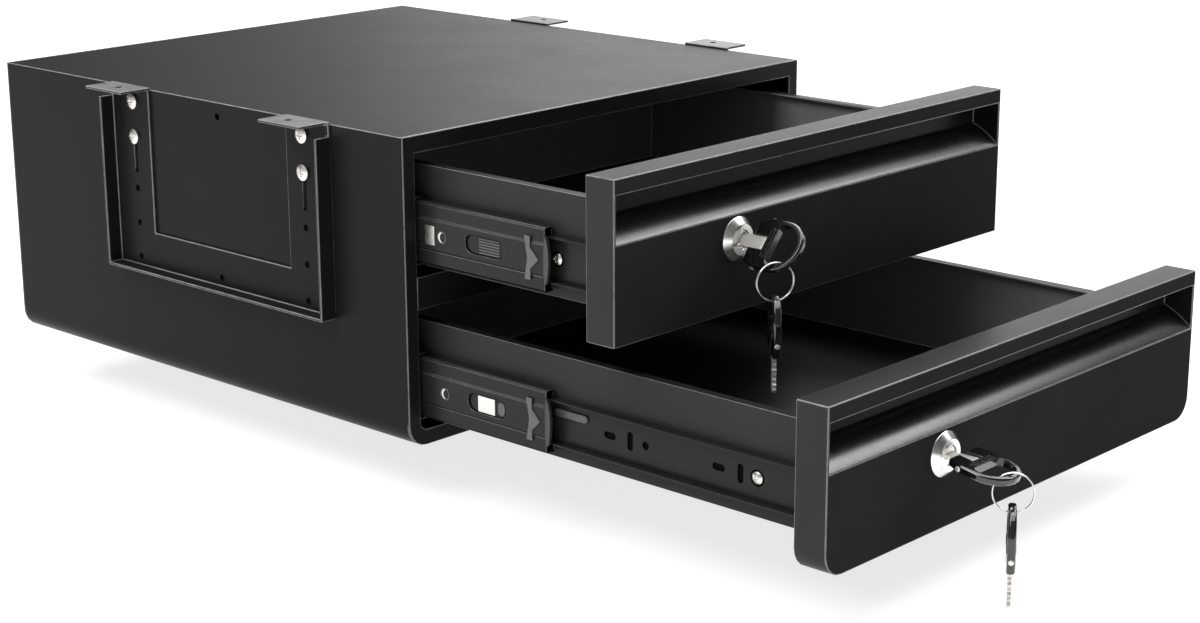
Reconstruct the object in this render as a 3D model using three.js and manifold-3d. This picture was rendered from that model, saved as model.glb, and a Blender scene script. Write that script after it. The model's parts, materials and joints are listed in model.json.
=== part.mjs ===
// Two-drawer lockable steel cabinet that hangs under a desk from two side brackets.
// Millimetres. +X is right seen from the front, +Y goes to the rear, +Z is up.
// The origin is on the desk's underside, midway between the four fixing tabs.

import * as THREE from 'three';
import { mergeVertices } from 'three/addons/utils/BufferGeometryUtils.js';
import Module from 'manifold-3d';

const wasm = await Module();
wasm.setup();

// Cabinet
const cabinetWidth = 400;
const cabinetDepth = 435;
const cabinetHeight = 206;
const cabinetSheet = 1.5;
const lowerEdgeRadius = 15;
const sideFlange = 10;
const bottomFlange = 10.6;
const topFlange = 11.5;
const openingCornerRadius = 6;
const dividerHeight = 21.6;
const dividerLedge = 12;

// Slide carriers, which hold the slides clear of the front flanges
const carrierWidth = 25;
const carrierClearance = 0.4;
const carrierFrontSetback = 24;
const carrierSpacing = 195;
const carrierTopMargin = 5;
const carrierStripHeight = 22;

// Desk brackets
const bracketSheet = 2;
const bracketLength = 234;
const bracketHeight = 132;
const bracketLegWidth = 43;
const bracketFootHeight = 28;
const bracketFlange = 13;
const bracketFlangeTopGap = 8;
const bracketFromFront = 68.25;
const deskGap = 1.5;
const tabLength = 41;
const tabReach = 25;
const tabHoleRadius = 2.5;
const holePitch = 25;
const plainHoleRadius = 2.5;
const lowestHoleHeight = 8;
const holeColumnInset = 25.5;
const slotLength = 26;
const slotHoleRadius = 1.9;

// Bracket bolts
const boltRadius = 2.5;
const boltHeadRadius = 5.5;
const boltHeadHeight = 3;
const nutWidth = 8;
const boltNutHeight = 4;
const boltClearance = 0.3;
const topBoltDrop = 10;

// Drawer fronts
const frontHeight = 101.8;
const frontGap = 1.6;
const closedGap = 0.3;
const frontThickness = 22.6;
const frontSheet = 1.5;
const pullEndWall = 2;
const pullHood = 10;
const pullOpening = 29.5;
const pullDepth = 21;
const pullBackHeight = 16.5;
const pullLipAngle = 26;
const frontReturnFlange = 30;
const lowerOpenLength = 315;
const upperOpenLength = 157;

// Drawer trays
const traySideGap = 23;
const lowerTrayDepth = 413;
const upperTrayDepth = 282;
const trayHeight = 66.5;
const trayLift = 15;
const traySheet = 1.2;
const trayRim = 7;

// Three-section slides
const lowerRailLength = 400;
const upperRailLength = 280;
const slideLift = 39.4;
const slideSheet = 1.2;
const outerRailHeight = 45;
const outerRailReach = 9;
const middleRailHeight = 41;
const middleRailReach = 7.6;
const middleWebHeight = 19.5;
const middleWebStep = 0.8;
const middleLipGap = 0.4;
const outerMiddleGap = 1.3;
const memberHeight = 29.6;
const memberReach = 6.4;
const railSetback = 3;
const middleRailShortfall = 30;
const memberShortfall = 30;
const memberSetback = 1;
const middleRailPulled = 110;
const latchHeight = 27.5;
const latchWidth = 5;
const latchNose = 7;
const latchThickness = 0.8;
const latchSetback = 16;
const bumperHeight = 32;
const bumperBulge = 4;
const bumperThickness = 2.6;
const windowLength = 35;
const windowHeight = 12;
const windowSetback = 51;
const memberHoleRadius = 2.6;
const memberHolePitch = 86;

// Locks
const lockFromCentre = 88;
const lockDrop = 55;
const bezelRadius = 14.2;
const bezelTipRadius = 10;
const bezelHeight = 5;
const barrelRadius = 9.5;
const barrelNutHeight = 3.5;
const barrelNutWidth = 24;
const plugRadius = 5.9;
const plugRecess = 1;
const lockClearance = 0.3;
const camLength = 50.5;
const camWidth = 14;
const camSheet = 2.5;
const camClearance = 0.6;
const camCornerRadius = 1;
const camBendStart = 36;
const camBendEnd = 40;

// Keys with a folding head
const bladeThickness = 2.4;
const bladeWidth = 9;
const bladeInLock = 12;
const headStart = 12.5;
const headLength = 38;
const headBaseWidth = 28;
const headWidth = 35;
const headShoulder = 10;
const headThickness = 5;
const headEdgeRadius = 1;
const headRim = 3.4;
const headOpeningLength = 18;
const headCornerRadius = 2;
const pinFromBase = 9;
const pinRadius = 0.9;
const pinProud = 0.3;
const keyClearance = 0.3;

// Key rings
const ringRadius = 12;
const ringWire = 0.9;

// Each drawer: how far it stands open, its length, its slide length, how its key and cam are turned,
// and how far its key's head droops about its pin.
// A cam that points up is locked, and each lock turns clockwise or anticlockwise to get there.
const drawers = [
  {
    name: 'lower', level: 0, cornerRadius: lowerEdgeRadius,
    open: lowerOpenLength, trayDepth: lowerTrayDepth, railLength: lowerRailLength,
    camTurn: -90, keyTurn: 90, keyFold: 10, ringPlace: 90, ringTurn: 56, spareTurn: 56,
  },
  {
    name: 'upper', level: frontHeight + frontGap, cornerRadius: 0,
    open: upperOpenLength, trayDepth: upperTrayDepth, railLength: upperRailLength,
    camTurn: 41, keyTurn: 41, keyFold: 0, ringPlace: 20, ringTurn: 30, spareTurn: 45,
  },
];

// Facets and the overrun of every cut
const cutOverrun = 1;
const cornerSteps = 5;
const hexSides = 6;
const holeSides = 12;
const roundSides = 24;
const ringSteps = 32;
const wireSides = 6;
const pullSteps = 6;

// Places that follow from the sizes
const halfWidth = cabinetWidth / 2;
const bottomZ = -(deskGap + cabinetHeight);
const topZ = -deskGap;
const fixingMiddle = bracketFromFront + bracketLength / 2;
const frontY = -fixingMiddle;
const rearY = frontY + cabinetDepth;
const innerHalfWidth = halfWidth - cabinetSheet;
const carrierFaceX = halfWidth - sideFlange - carrierClearance;
const trayHalfWidth = halfWidth - traySideGap;
const drawerSides = [{ name: 'left', sign: -1 }, { name: 'right', sign: 1 }];

const colours = {
  powderCoat: 0x2c2d2e,
  slideSteel: 0x242526,
  castGrey: 0x8d8f91,
  nickel: 0xd6d4cf,
  chrome: 0xe4e2dd,
  blackPlastic: 0x17181a,
};

const surfaces = {
  coat: { color: colours.powderCoat, roughness: 0.55, metalness: 0.1 },
  slide: { color: colours.slideSteel, roughness: 0.4, metalness: 0.5 },
  cast: { color: colours.castGrey, roughness: 0.45, metalness: 0.7 },
  nickel: { color: colours.nickel, roughness: 0.25, metalness: 1 },
  chrome: { color: colours.chrome, roughness: 0.12, metalness: 1 },
  plastic: { color: colours.blackPlastic, roughness: 0.3, metalness: 0 },
};

const part = new THREE.Group();

// Solids

function solidOf(geometry) {
  geometry.deleteAttribute('normal');
  geometry.deleteAttribute('uv');
  const merged = mergeVertices(geometry);
  return new wasm.Manifold(new wasm.Mesh({
    numProp: 3,
    vertProperties: new Float32Array(merged.attributes.position.array),
    triVerts: new Uint32Array(merged.index.array),
  }));
}

function geometryOf(solid) {
  const mesh = solid.getMesh();
  const geometry = new THREE.BufferGeometry();
  geometry.setAttribute('position', new THREE.BufferAttribute(new Float32Array(mesh.vertProperties), 3));
  geometry.setIndex(new THREE.BufferAttribute(new Uint32Array(mesh.triVerts), 1));
  return geometry;
}

function join(solids) {
  return solids.reduce((whole, next) => whole.add(next));
}

function cut(solid, holes) {
  return holes.reduce((left, hole) => left.subtract(hole), solid);
}

function addMesh(name, solid, surface, parent = part) {
  const mesh = new THREE.Mesh(geometryOf(solid), new THREE.MeshStandardMaterial(surface));
  mesh.name = name;
  parent.add(mesh);
  return mesh;
}

// An outline is pulled along an axis: (y, z) along x, (x, z) along y, or (x, y) along z.
function pull(outline, axis, from, to) {
  const unit = { x: new THREE.Vector3(1, 0, 0), y: new THREE.Vector3(0, 1, 0), z: new THREE.Vector3(0, 0, 1) };
  const bases = {
    x: [unit.y, unit.z, unit.x],
    y: [unit.x, unit.z, unit.y.clone().negate()],
    z: [unit.x, unit.y, unit.z],
  };
  const start = axis === 'y' ? Math.max(from, to) : Math.min(from, to);
  const shape = new THREE.Shape(outline.map(([a, b]) => new THREE.Vector2(a, b)));
  const geometry = new THREE.ExtrudeGeometry(shape, { depth: Math.abs(to - from), bevelEnabled: false });
  geometry.applyMatrix4(new THREE.Matrix4().makeBasis(...bases[axis]));
  const shift = unit[axis].clone().multiplyScalar(start);
  geometry.translate(shift.x, shift.y, shift.z);
  return solidOf(geometry);
}

function box([x0, x1], [y0, y1], [z0, z1]) {
  const geometry = new THREE.BoxGeometry(Math.abs(x1 - x0), Math.abs(y1 - y0), Math.abs(z1 - z0));
  geometry.translate((x0 + x1) / 2, (y0 + y1) / 2, (z0 + z1) / 2);
  return solidOf(geometry);
}

function circle(a, b, radius, sides) {
  const points = [];
  for (let i = 0; i < sides; i += 1) {
    const angle = (2 * Math.PI * (i + 1 / 2)) / sides;
    points.push([a + radius * Math.cos(angle), b + radius * Math.sin(angle)]);
  }
  return points;
}

// A slot with round ends, centred on (a, b), along the first or the second direction.
function slot(a, b, length, radius, upright) {
  const points = [];
  const reach = length / 2 - radius;
  const half = holeSides / 2;
  for (let i = 0; i <= holeSides + 1; i += 1) {
    const end = i <= half ? 1 : -1;
    const step = i <= half ? i : i - 1;
    const angle = (Math.PI * step) / half - Math.PI / 2;
    const along = end * reach + radius * Math.cos(angle);
    const across = radius * Math.sin(angle);
    points.push(upright ? [a - across, b + along] : [a + along, b + across]);
  }
  return points;
}

// Corners are [a, b, radius]; a corner with a radius becomes an arc.
function rounded(corners) {
  const points = [];
  corners.forEach(([a, b, radius], i) => {
    if (!radius) {
      points.push([a, b]);
      return;
    }
    const corner = new THREE.Vector2(a, b);
    const before = corners[(i + corners.length - 1) % corners.length];
    const after = corners[(i + 1) % corners.length];
    const toBefore = new THREE.Vector2(before[0], before[1]).sub(corner).normalize();
    const toAfter = new THREE.Vector2(after[0], after[1]).sub(corner).normalize();
    const half = Math.acos(toBefore.dot(toAfter)) / 2;
    const middle = toBefore.clone().add(toAfter).normalize().multiplyScalar(radius / Math.sin(half)).add(corner);
    const first = toBefore.multiplyScalar(radius / Math.tan(half)).add(corner).sub(middle);
    const last = toAfter.multiplyScalar(radius / Math.tan(half)).add(corner).sub(middle);
    const sweep = Math.atan2(first.cross(last), first.dot(last));
    for (let step = 0; step <= cornerSteps; step += 1) {
      const turned = first.clone().rotateAround(new THREE.Vector2(), (sweep * step) / cornerSteps);
      points.push([middle.x + turned.x, middle.y + turned.y]);
    }
  });
  return points;
}

// Cabinet

function cabinetOutline(inset, top) {
  const x = halfWidth - inset;
  const radius = lowerEdgeRadius - inset;
  return [[-x, top, 0], [-x, bottomZ + inset, radius], [x, bottomZ + inset, radius], [x, top, 0]];
}

// Bottom and sides, folded from one sheet with round lower edges.
function makeCabinetShell() {
  const top = topZ - cabinetSheet;
  const outline = rounded([...cabinetOutline(0, top), ...cabinetOutline(cabinetSheet, top).reverse()]);
  const holes = drawerSides.flatMap(({ sign }) => [
    ...boltPlaces().map(([y, z]) => crossHole(sign, y, z, boltRadius + boltClearance)),
    crossHole(sign, 0, topZ - topBoltDrop, plainHoleRadius),
  ]);
  return cut(pull(outline, 'y', frontY + cabinetSheet, rearY - cabinetSheet), holes);
}

function makeCabinetTop() {
  return box([-halfWidth, halfWidth], [frontY + cabinetSheet, rearY - cabinetSheet], [topZ - cabinetSheet, topZ]);
}

function makeCabinetBack() {
  return pull(rounded(cabinetOutline(0, topZ)), 'y', rearY - cabinetSheet, rearY);
}

function makeFrontFrame() {
  const plate = pull(rounded(cabinetOutline(0, topZ)), 'y', frontY, frontY + cabinetSheet);
  const x = halfWidth - sideFlange;
  const low = bottomZ + bottomFlange;
  const high = topZ - topFlange;
  const opening = rounded([[-x, high, 0], [-x, low, openingCornerRadius], [x, low, openingCornerRadius], [x, high, 0]]);
  return cut(plate, [pull(opening, 'y', frontY - cutOverrun, frontY + cabinetSheet + cutOverrun)]);
}

// The cross rail between the drawers, which the lower cam locks behind.
function makeDividerRail() {
  const x = halfWidth - sideFlange;
  const middle = bottomZ + frontHeight + frontGap / 2;
  const low = middle - dividerHeight / 2;
  const high = middle + dividerHeight / 2;
  return join([
    box([-x, x], [frontY, frontY + cabinetSheet], [low, high]),
    box([-x, x], [frontY, frontY + dividerLedge], [high - cabinetSheet, high]),
  ]);
}

// Two upright channels on each cabinet side, tied by a strip.
function makeSlideCarrier(sign) {
  const outside = sign * innerHalfWidth;
  const face = sign * carrierFaceX;
  const inner = sign * (carrierFaceX + cabinetSheet);
  const low = bottomZ + lowerEdgeRadius;
  const railTop = bottomZ + frontHeight + frontGap + slideLift + outerRailHeight / 2;
  const high = railTop + carrierTopMargin;
  const channels = [0, carrierSpacing].flatMap((offset) => {
    const y = frontY + carrierFrontSetback + offset;
    const outline = [
      [outside, y], [face, y], [face, y + carrierWidth], [outside, y + carrierWidth],
      [outside, y + carrierWidth - cabinetSheet], [inner, y + carrierWidth - cabinetSheet],
      [inner, y + cabinetSheet], [outside, y + cabinetSheet],
    ];
    return [pull(outline, 'z', low, high)];
  });
  const stripMiddle = bottomZ + frontHeight;
  const strip = box(
    [outside, outside - sign * cabinetSheet],
    [frontY + carrierFrontSetback, frontY + carrierFrontSetback + carrierSpacing + cabinetSheet],
    [stripMiddle - carrierStripHeight / 2, stripMiddle + carrierStripHeight / 2],
  );
  return join([...channels, strip]);
}

// Desk brackets

function boltPlaces() {
  const columns = [-bracketLength / 2 + holeColumnInset, bracketLength / 2 - holeColumnInset];
  const rows = [topZ - topBoltDrop, topZ - topBoltDrop - holePitch];
  return columns.flatMap((y) => rows.map((z) => [y, z]));
}

function crossHole(sign, y, z, radius) {
  const reach = innerHalfWidth - cutOverrun;
  return pull(circle(y, z, radius, holeSides), 'x', sign * reach, sign * (halfWidth + bracketFlange));
}

function makeDeskBracket(sign) {
  const inner = sign * halfWidth;
  const outer = sign * (halfWidth + bracketSheet);
  const lip = sign * (halfWidth + bracketFlange);
  const half = bracketLength / 2;
  const low = -bracketHeight;
  const foot = low + bracketFootHeight;
  const flangeTop = topZ - bracketFlangeTopGap;
  const plate = [
    [-half, 0], [-half, low], [half, low], [half, 0],
    [half - bracketLegWidth, 0], [half - bracketLegWidth, foot],
    [-half + bracketLegWidth, foot], [-half + bracketLegWidth, 0],
  ];
  const tabs = [-1, 1].map((end) => {
    const outerEnd = end * (half - (bracketLegWidth - tabLength));
    return box([inner, sign * (halfWidth + tabReach)], [outerEnd, outerEnd - end * tabLength], [-bracketSheet, 0]);
  });
  const flanges = [-1, 1].map((end) => box(
    [inner, lip], [end * half, end * (half - bracketSheet)], [low, flangeTop],
  ));
  const bottomLip = box([inner, lip], [-half, half], [low, low + bracketSheet]);
  const solid = join([pull(plate, 'x', inner, outer), ...tabs, ...flanges, bottomLip]);
  return cut(solid, bracketHoles(sign));
}

function bracketHoles(sign) {
  const half = bracketLength / 2;
  const lowest = -bracketHeight + lowestHoleHeight;
  const holes = [crossHole(sign, 0, lowest, plainHoleRadius)];
  [-half + holeColumnInset, half - holeColumnInset].forEach((y) => {
    [0, 1, 2].forEach((row) => holes.push(crossHole(sign, y, lowest + row * holePitch, plainHoleRadius)));
    const slotTop = topZ - topBoltDrop - holePitch;
    const outline = slot(y, slotTop - slotLength / 2, slotLength, slotHoleRadius, true);
    holes.push(pull(outline, 'x', sign * (halfWidth - cutOverrun), sign * (halfWidth + bracketFlange)));
    const tabHole = circle(sign * (halfWidth + (tabReach + bracketSheet) / 2), y, tabHoleRadius, holeSides);
    holes.push(pull(tabHole, 'z', -bracketSheet - cutOverrun, cutOverrun));
  });
  boltPlaces().forEach(([y, z]) => holes.push(crossHole(sign, y, z, boltRadius + boltClearance)));
  return holes;
}

// A pan-head bolt through bracket and cabinet side, with its nut inside.
function makeBracketBolt(sign, y, z) {
  const seat = halfWidth + bracketSheet;
  const head = pull(circle(y, z, boltHeadRadius, roundSides), 'x', sign * seat, sign * (seat + boltHeadHeight));
  const nutEnd = innerHalfWidth - boltNutHeight;
  const shank = pull(circle(y, z, boltRadius, holeSides), 'x', sign * (seat + boltHeadHeight / 2), sign * nutEnd);
  const nutRadius = nutWidth / Math.sqrt(3);
  const nut = pull(circle(y, z, nutRadius, hexSides), 'x', sign * innerHalfWidth, sign * nutEnd);
  return join([head, shank, nut]);
}

// Drawer fronts and trays

// The finger pull: a flat hood, an upright back and a ledge that bulges and falls to a lip at the front face.
function pullOutline(faceY, frontTop) {
  const hood = frontTop - pullHood;
  const ledgeBack = hood - pullBackHeight;
  const ledgeFront = hood - pullOpening;
  const lip = THREE.MathUtils.degToRad(pullLipAngle);
  const points = [[faceY - cutOverrun, hood], [faceY + pullDepth, hood]];
  for (let step = 0; step <= pullSteps; step += 1) {
    const angle = Math.PI / 2 + (lip - Math.PI / 2) * (step / pullSteps);
    const depthShare = 1 - Math.cos(angle) / Math.cos(lip);
    const heightShare = (Math.sin(angle) - Math.sin(lip)) / (1 - Math.sin(lip));
    points.push([faceY + pullDepth * depthShare, ledgeFront + (ledgeBack - ledgeFront) * heightShare]);
  }
  points.push([faceY - cutOverrun, ledgeFront]);
  return points;
}

function makeDrawerFront(drawer) {
  const backY = frontY - drawer.open;
  const faceY = backY - frontThickness;
  const low = bottomZ + drawer.level;
  const high = low + frontHeight;
  const outline = rounded([
    [-halfWidth, high, 0], [-halfWidth, low, drawer.cornerRadius],
    [halfWidth, low, drawer.cornerRadius], [halfWidth, high, 0],
  ]);
  const pullEnd = halfWidth - pullEndWall;
  const fingerPull = pull(pullOutline(faceY, high), 'x', -pullEnd, pullEnd);
  const hollowTop = high - pullHood - pullOpening - frontSheet;
  const hollowSide = halfWidth - Math.max(drawer.cornerRadius, frontSheet);
  const hollow = box([-hollowSide, hollowSide], [faceY + frontSheet, backY - frontSheet], [low + frontSheet, hollowTop]);
  const accessSide = halfWidth - frontReturnFlange;
  const access = box(
    [-accessSide, accessSide], [faceY + frontSheet, backY + cutOverrun],
    [low + trayLift + traySheet, hollowTop - frontSheet],
  );
  return cut(pull(outline, 'y', faceY, backY), [fingerPull, hollow, access, lockHole(drawer, faceY)]);
}

function lockHole(drawer, faceY) {
  const [x, z] = lockPlace(drawer);
  const through = faceY + frontThickness + traySheet + cutOverrun;
  return pull(circle(x, z, barrelRadius + lockClearance, roundSides), 'y', faceY - cutOverrun, through);
}

function makeDrawerTray(drawer) {
  const y0 = frontY - drawer.open;
  const y1 = y0 + drawer.trayDepth;
  const low = bottomZ + drawer.level + trayLift;
  const high = low + trayHeight;
  const x = trayHalfWidth;
  const tray = cut(box([-x, x], [y0, y1], [low, high]), [
    box([-x + traySheet, x - traySheet], [y0 + traySheet, y1 - traySheet], [low + traySheet, high + cutOverrun]),
  ]);
  const rims = drawerSides.map(({ sign }) => box(
    [sign * x, sign * (x - trayRim)], [y0, y1], [high - traySheet, high],
  ));
  return cut(join([tray, ...rims]), [lockHole(drawer, y0 - frontThickness)]);
}

// Slides

function slideCentre(drawer) {
  return bottomZ + drawer.level + slideLift;
}

// The section that is fixed to the cabinet: a channel open towards the drawer.
function makeOuterRail(drawer, sign) {
  const z = slideCentre(drawer);
  const half = outerRailHeight / 2;
  const back = sign * carrierFaceX;
  const web = sign * (carrierFaceX - slideSheet);
  const edge = sign * (carrierFaceX - outerRailReach);
  const outline = [
    [back, z - half], [edge, z - half], [edge, z - half + slideSheet], [web, z - half + slideSheet],
    [web, z + half - slideSheet], [edge, z + half - slideSheet], [edge, z + half], [back, z + half],
  ];
  return pull(outline, 'y', frontY + railSetback, frontY + railSetback + drawer.railLength);
}

function middleWebX() {
  return carrierFaceX - slideSheet - outerMiddleGap;
}

// The floating section: a stepped web with ball races that curl over the drawer's section.
function makeMiddleRail(drawer, sign) {
  const z = slideCentre(drawer);
  const half = middleRailHeight / 2;
  const webHalf = middleWebHeight / 2;
  const lipEnd = memberHeight / 2 + middleLipGap;
  const face = middleWebX();
  const band = face - middleWebStep;
  const edge = band - middleRailReach;
  const side = (up) => [
    [face, up * webHalf], [band, up * (webHalf + middleWebStep)], [band, up * (half - slideSheet)],
    [band - slideSheet, up * half], [edge, up * half], [edge, up * lipEnd], [edge + slideSheet, up * lipEnd],
    [edge + slideSheet, up * (half - slideSheet)], [band - slideSheet, up * (half - slideSheet)],
    [band - slideSheet, up * (webHalf + middleWebStep)], [face - slideSheet, up * webHalf],
  ];
  const outline = [...side(1), ...side(-1).reverse()].map(([x, dz]) => [sign * x, z + dz]);
  const front = frontY - middleRailPulled;
  const length = drawer.railLength - middleRailShortfall;
  const window = slot(front + windowSetback, z, windowLength, windowHeight / 2, false);
  const windowX = [sign * (face + cutOverrun), sign * (face - slideSheet - cutOverrun)];
  return cut(pull(outline, 'y', front, front + length), [pull(window, 'x', ...windowX)]);
}

// The section on the drawer: a channel open towards the cabinet, with its fixing holes.
function makeDrawerRail(drawer, sign) {
  const z = slideCentre(drawer);
  const half = memberHeight / 2;
  const back = sign * trayHalfWidth;
  const web = sign * (trayHalfWidth + slideSheet);
  const edge = sign * (trayHalfWidth + memberReach);
  const outline = [
    [back, z - half], [edge, z - half], [edge, z - half + slideSheet], [web, z - half + slideSheet],
    [web, z + half - slideSheet], [edge, z + half - slideSheet], [edge, z + half], [back, z + half],
  ];
  const y0 = frontY - drawer.open + memberSetback;
  const count = Math.floor(drawer.railLength / memberHolePitch);
  const reach = [sign * (trayHalfWidth - cutOverrun), sign * (trayHalfWidth + slideSheet + cutOverrun)];
  const holes = [];
  for (let i = 0; i < count; i += 1) {
    const y = y0 + memberHolePitch * (i + 1 / 2);
    holes.push(pull(circle(y, z, memberHoleRadius, holeSides), 'x', ...reach));
  }
  return cut(pull(outline, 'y', y0, y0 + drawer.railLength - memberShortfall), holes);
}

// The cast lever that frees the drawer from its slide.
function makeSlideLatch(drawer, sign) {
  const z = slideCentre(drawer);
  const y = frontY - middleRailPulled + latchSetback;
  const half = latchHeight / 2;
  const quarter = latchHeight / 4;
  const outline = [
    [y, half], [y - latchWidth, half], [y - latchWidth, quarter], [y - latchNose - latchWidth, 0],
    [y - latchWidth, -quarter], [y - latchWidth, -half], [y, -half], [y - latchWidth / 2, 0],
  ].map(([a, dz]) => [a, z + dz]);
  const face = middleWebX();
  return pull(outline, 'x', sign * face, sign * (face + latchThickness));
}

// The buffer at the front end of the middle section.
function makeSlideBumper(drawer, sign) {
  const z = slideCentre(drawer);
  const y = frontY - middleRailPulled;
  const half = bumperHeight / 2;
  const outline = [];
  for (let step = 0; step <= holeSides / 2; step += 1) {
    const angle = (Math.PI * step) / (holeSides / 2);
    outline.push([y - bumperBulge * Math.sin(angle), z + half * Math.cos(angle)]);
  }
  const face = middleWebX();
  return pull(outline, 'x', sign * face, sign * (face - bumperThickness));
}

// Locks. In a lock's own frame the axis is y, the front face of the drawer is y = 0
// and the key's width stands along z.

function lockPlace(drawer) {
  return [-lockFromCentre, bottomZ + drawer.level + frontHeight - lockDrop];
}

// Turned shapes: [radius, distance behind the front face].
function turned(profile, sides) {
  const points = profile.map(([radius, y]) => new THREE.Vector2(radius, y));
  points.push(points[0].clone());
  return solidOf(new THREE.LatheGeometry(points, sides));
}

const barrelEnd = frontThickness + traySheet + barrelNutHeight;

function makeLockHousing() {
  const bore = plugRadius + lockClearance;
  return turned([
    [bore, -bezelHeight], [bezelTipRadius, -bezelHeight], [bezelRadius, -plugRecess], [bezelRadius, 0],
    [barrelRadius, 0], [barrelRadius, barrelEnd], [bore, barrelEnd],
  ], roundSides);
}

function makeLockNut() {
  const start = frontThickness + traySheet;
  const hexagon = circle(0, 0, barrelNutWidth / Math.sqrt(3), hexSides);
  const bore = circle(0, 0, barrelRadius + lockClearance, roundSides);
  const hole = pull(bore, 'y', start - cutOverrun, start + barrelNutHeight + cutOverrun);
  return cut(pull(hexagon, 'y', start, start + barrelNutHeight), [hole]);
}

function makeLockPlug() {
  const front = -bezelHeight + plugRecess;
  const body = pull(circle(0, 0, plugRadius, roundSides), 'y', front, barrelEnd + lockClearance);
  const x = bladeThickness / 2 + keyClearance;
  const z = bladeWidth / 2 + keyClearance;
  const keyway = box([-x, x], [front - cutOverrun, bladeInLock + cutOverrun], [-z, z]);
  return cut(body, [keyway]);
}

// The locking arm, cranked forwards so that its end stands just behind the closed front frame.
function makeLockCam() {
  const y = barrelEnd + lockClearance;
  const end = frontThickness + closedGap + cabinetSheet + camClearance;
  const side = [
    [y, -camWidth / 2], [y + camSheet, -camWidth / 2], [y + camSheet, camBendStart + camSheet / 2],
    [end + camSheet, camBendEnd], [end + camSheet, camLength], [end, camLength],
    [end, camBendEnd - camSheet / 2], [y, camBendStart],
  ];
  const half = camWidth / 2;
  const hubRadius = half - camCornerRadius;
  const plan = rounded([
    [-half, -half, hubRadius], [half, -half, hubRadius],
    [half, camLength, camCornerRadius], [-half, camLength, camCornerRadius],
  ]);
  const bar = pull(side, 'x', -half, half);
  return bar.intersect(pull(plan, 'y', end - cutOverrun, y + camSheet + cutOverrun));
}

// Keys. The head's tip points along -y, its width along z, its thickness along x.

const pinY = -(headStart + pinFromBase);
const headArcY = -(headStart + headLength - headWidth / 2);

function makeKeyBlade() {
  const x = bladeThickness / 2;
  const z = bladeWidth / 2;
  const blade = box([-x, x], [bladeInLock, pinY], [-z, z]);
  const eye = pull(circle(0, pinY, x, holeSides), 'z', -z, z);
  const pinEnd = headEdgeAt(pinFromBase) + pinProud;
  const pin = pull(circle(0, pinY, pinRadius, holeSides), 'z', -pinEnd, pinEnd);
  return join([blade, eye, pin]);
}

// Half the head's width at a distance from its base.
function headEdgeAt(fromBase) {
  const share = Math.min(1, fromBase / headShoulder);
  return (headBaseWidth + (headWidth - headBaseWidth) * share) / 2;
}

// The half circle at the head's tip, from its upper side to its lower side.
function headEnd(radius) {
  const steps = roundSides / 2;
  return Array.from({ length: steps }, (_, i) => {
    const angle = Math.PI * ((i + 1) / steps);
    return [headArcY - radius * Math.sin(angle), radius * Math.cos(angle)];
  });
}

function headOutline() {
  const base = -headStart;
  const shoulder = base - headShoulder;
  const points = rounded([
    [shoulder, -headWidth / 2, headShoulder / 2], [base, -headBaseWidth / 2, headCornerRadius],
    [base, headBaseWidth / 2, headCornerRadius], [shoulder, headWidth / 2, headShoulder / 2],
    [headArcY, headWidth / 2, 0], [headArcY, -headWidth / 2, 0],
  ]).slice(0, -1);
  return [...points, ...headEnd(headWidth / 2)];
}

function openingOutline() {
  const radius = headWidth / 2 - headRim;
  const flat = headArcY + headOpeningLength - radius;
  const corners = [[flat, -radius, headRim], [flat, radius, headRim], [headArcY, radius, 0]];
  return [...rounded([...corners, [headArcY, -radius, 0]]).slice(0, -1), ...headEnd(radius)];
}

function makeKeyHead() {
  const shape = new THREE.Shape(headOutline().map(([y, z]) => new THREE.Vector2(y, z)));
  const geometry = new THREE.ExtrudeGeometry(shape, {
    depth: headThickness - 2 * headEdgeRadius,
    bevelThickness: headEdgeRadius,
    bevelSize: headEdgeRadius,
    bevelOffset: -headEdgeRadius,
    bevelSegments: 1,
  });
  geometry.translate(0, 0, headEdgeRadius - headThickness / 2);
  geometry.applyMatrix4(new THREE.Matrix4().makeBasis(
    new THREE.Vector3(0, 1, 0), new THREE.Vector3(0, 0, 1), new THREE.Vector3(1, 0, 0),
  ));
  const x = headThickness / 2 + cutOverrun;
  const notchZ = bladeWidth / 2 + keyClearance;
  const notchY = pinY - bladeThickness / 2 - keyClearance;
  const notch = box([-x, x], [-headStart + cutOverrun, notchY], [-notchZ, notchZ]);
  const pinReach = headWidth / 2 + cutOverrun;
  const pinHole = pull(circle(0, pinY, pinRadius + keyClearance, holeSides), 'z', -pinReach, pinReach);
  return cut(solidOf(geometry), [pull(openingOutline(), 'x', -x, x), notch, pinHole]);
}

// The ring hangs from the middle of the head's rim. Its place on the rim is an angle:
// 0 at the lower side of the opening, 90 at the head's tip.
function rimPoint(drawer) {
  const rimRadius = (headWidth - headRim) / 2;
  const angle = THREE.MathUtils.degToRad(drawer.ringPlace);
  const local = new THREE.Vector3(0, headArcY - rimRadius * Math.sin(angle) - pinY, -rimRadius * Math.cos(angle));
  local.applyAxisAngle(new THREE.Vector3(0, 0, 1), THREE.MathUtils.degToRad(drawer.keyFold));
  local.y += pinY;
  local.applyAxisAngle(new THREE.Vector3(0, 1, 0), THREE.MathUtils.degToRad(drawer.keyTurn));
  return local.add(lockOrigin(drawer));
}

function lockOrigin(drawer) {
  const [x, z] = lockPlace(drawer);
  return new THREE.Vector3(x, frontY - drawer.open - frontThickness, z);
}

const ringInner = ringRadius - ringWire;
const ringDrop = ringInner - Math.hypot(headRim, headThickness) / 2 - keyClearance;

// How far the ring's inner edge rises inside the spare head's thickness.
function ringSag(drawer) {
  const across = headThickness / 2 / Math.cos(THREE.MathUtils.degToRad(drawer.spareTurn - drawer.ringTurn));
  return ringInner - Math.sqrt(ringInner ** 2 - across ** 2);
}

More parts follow.
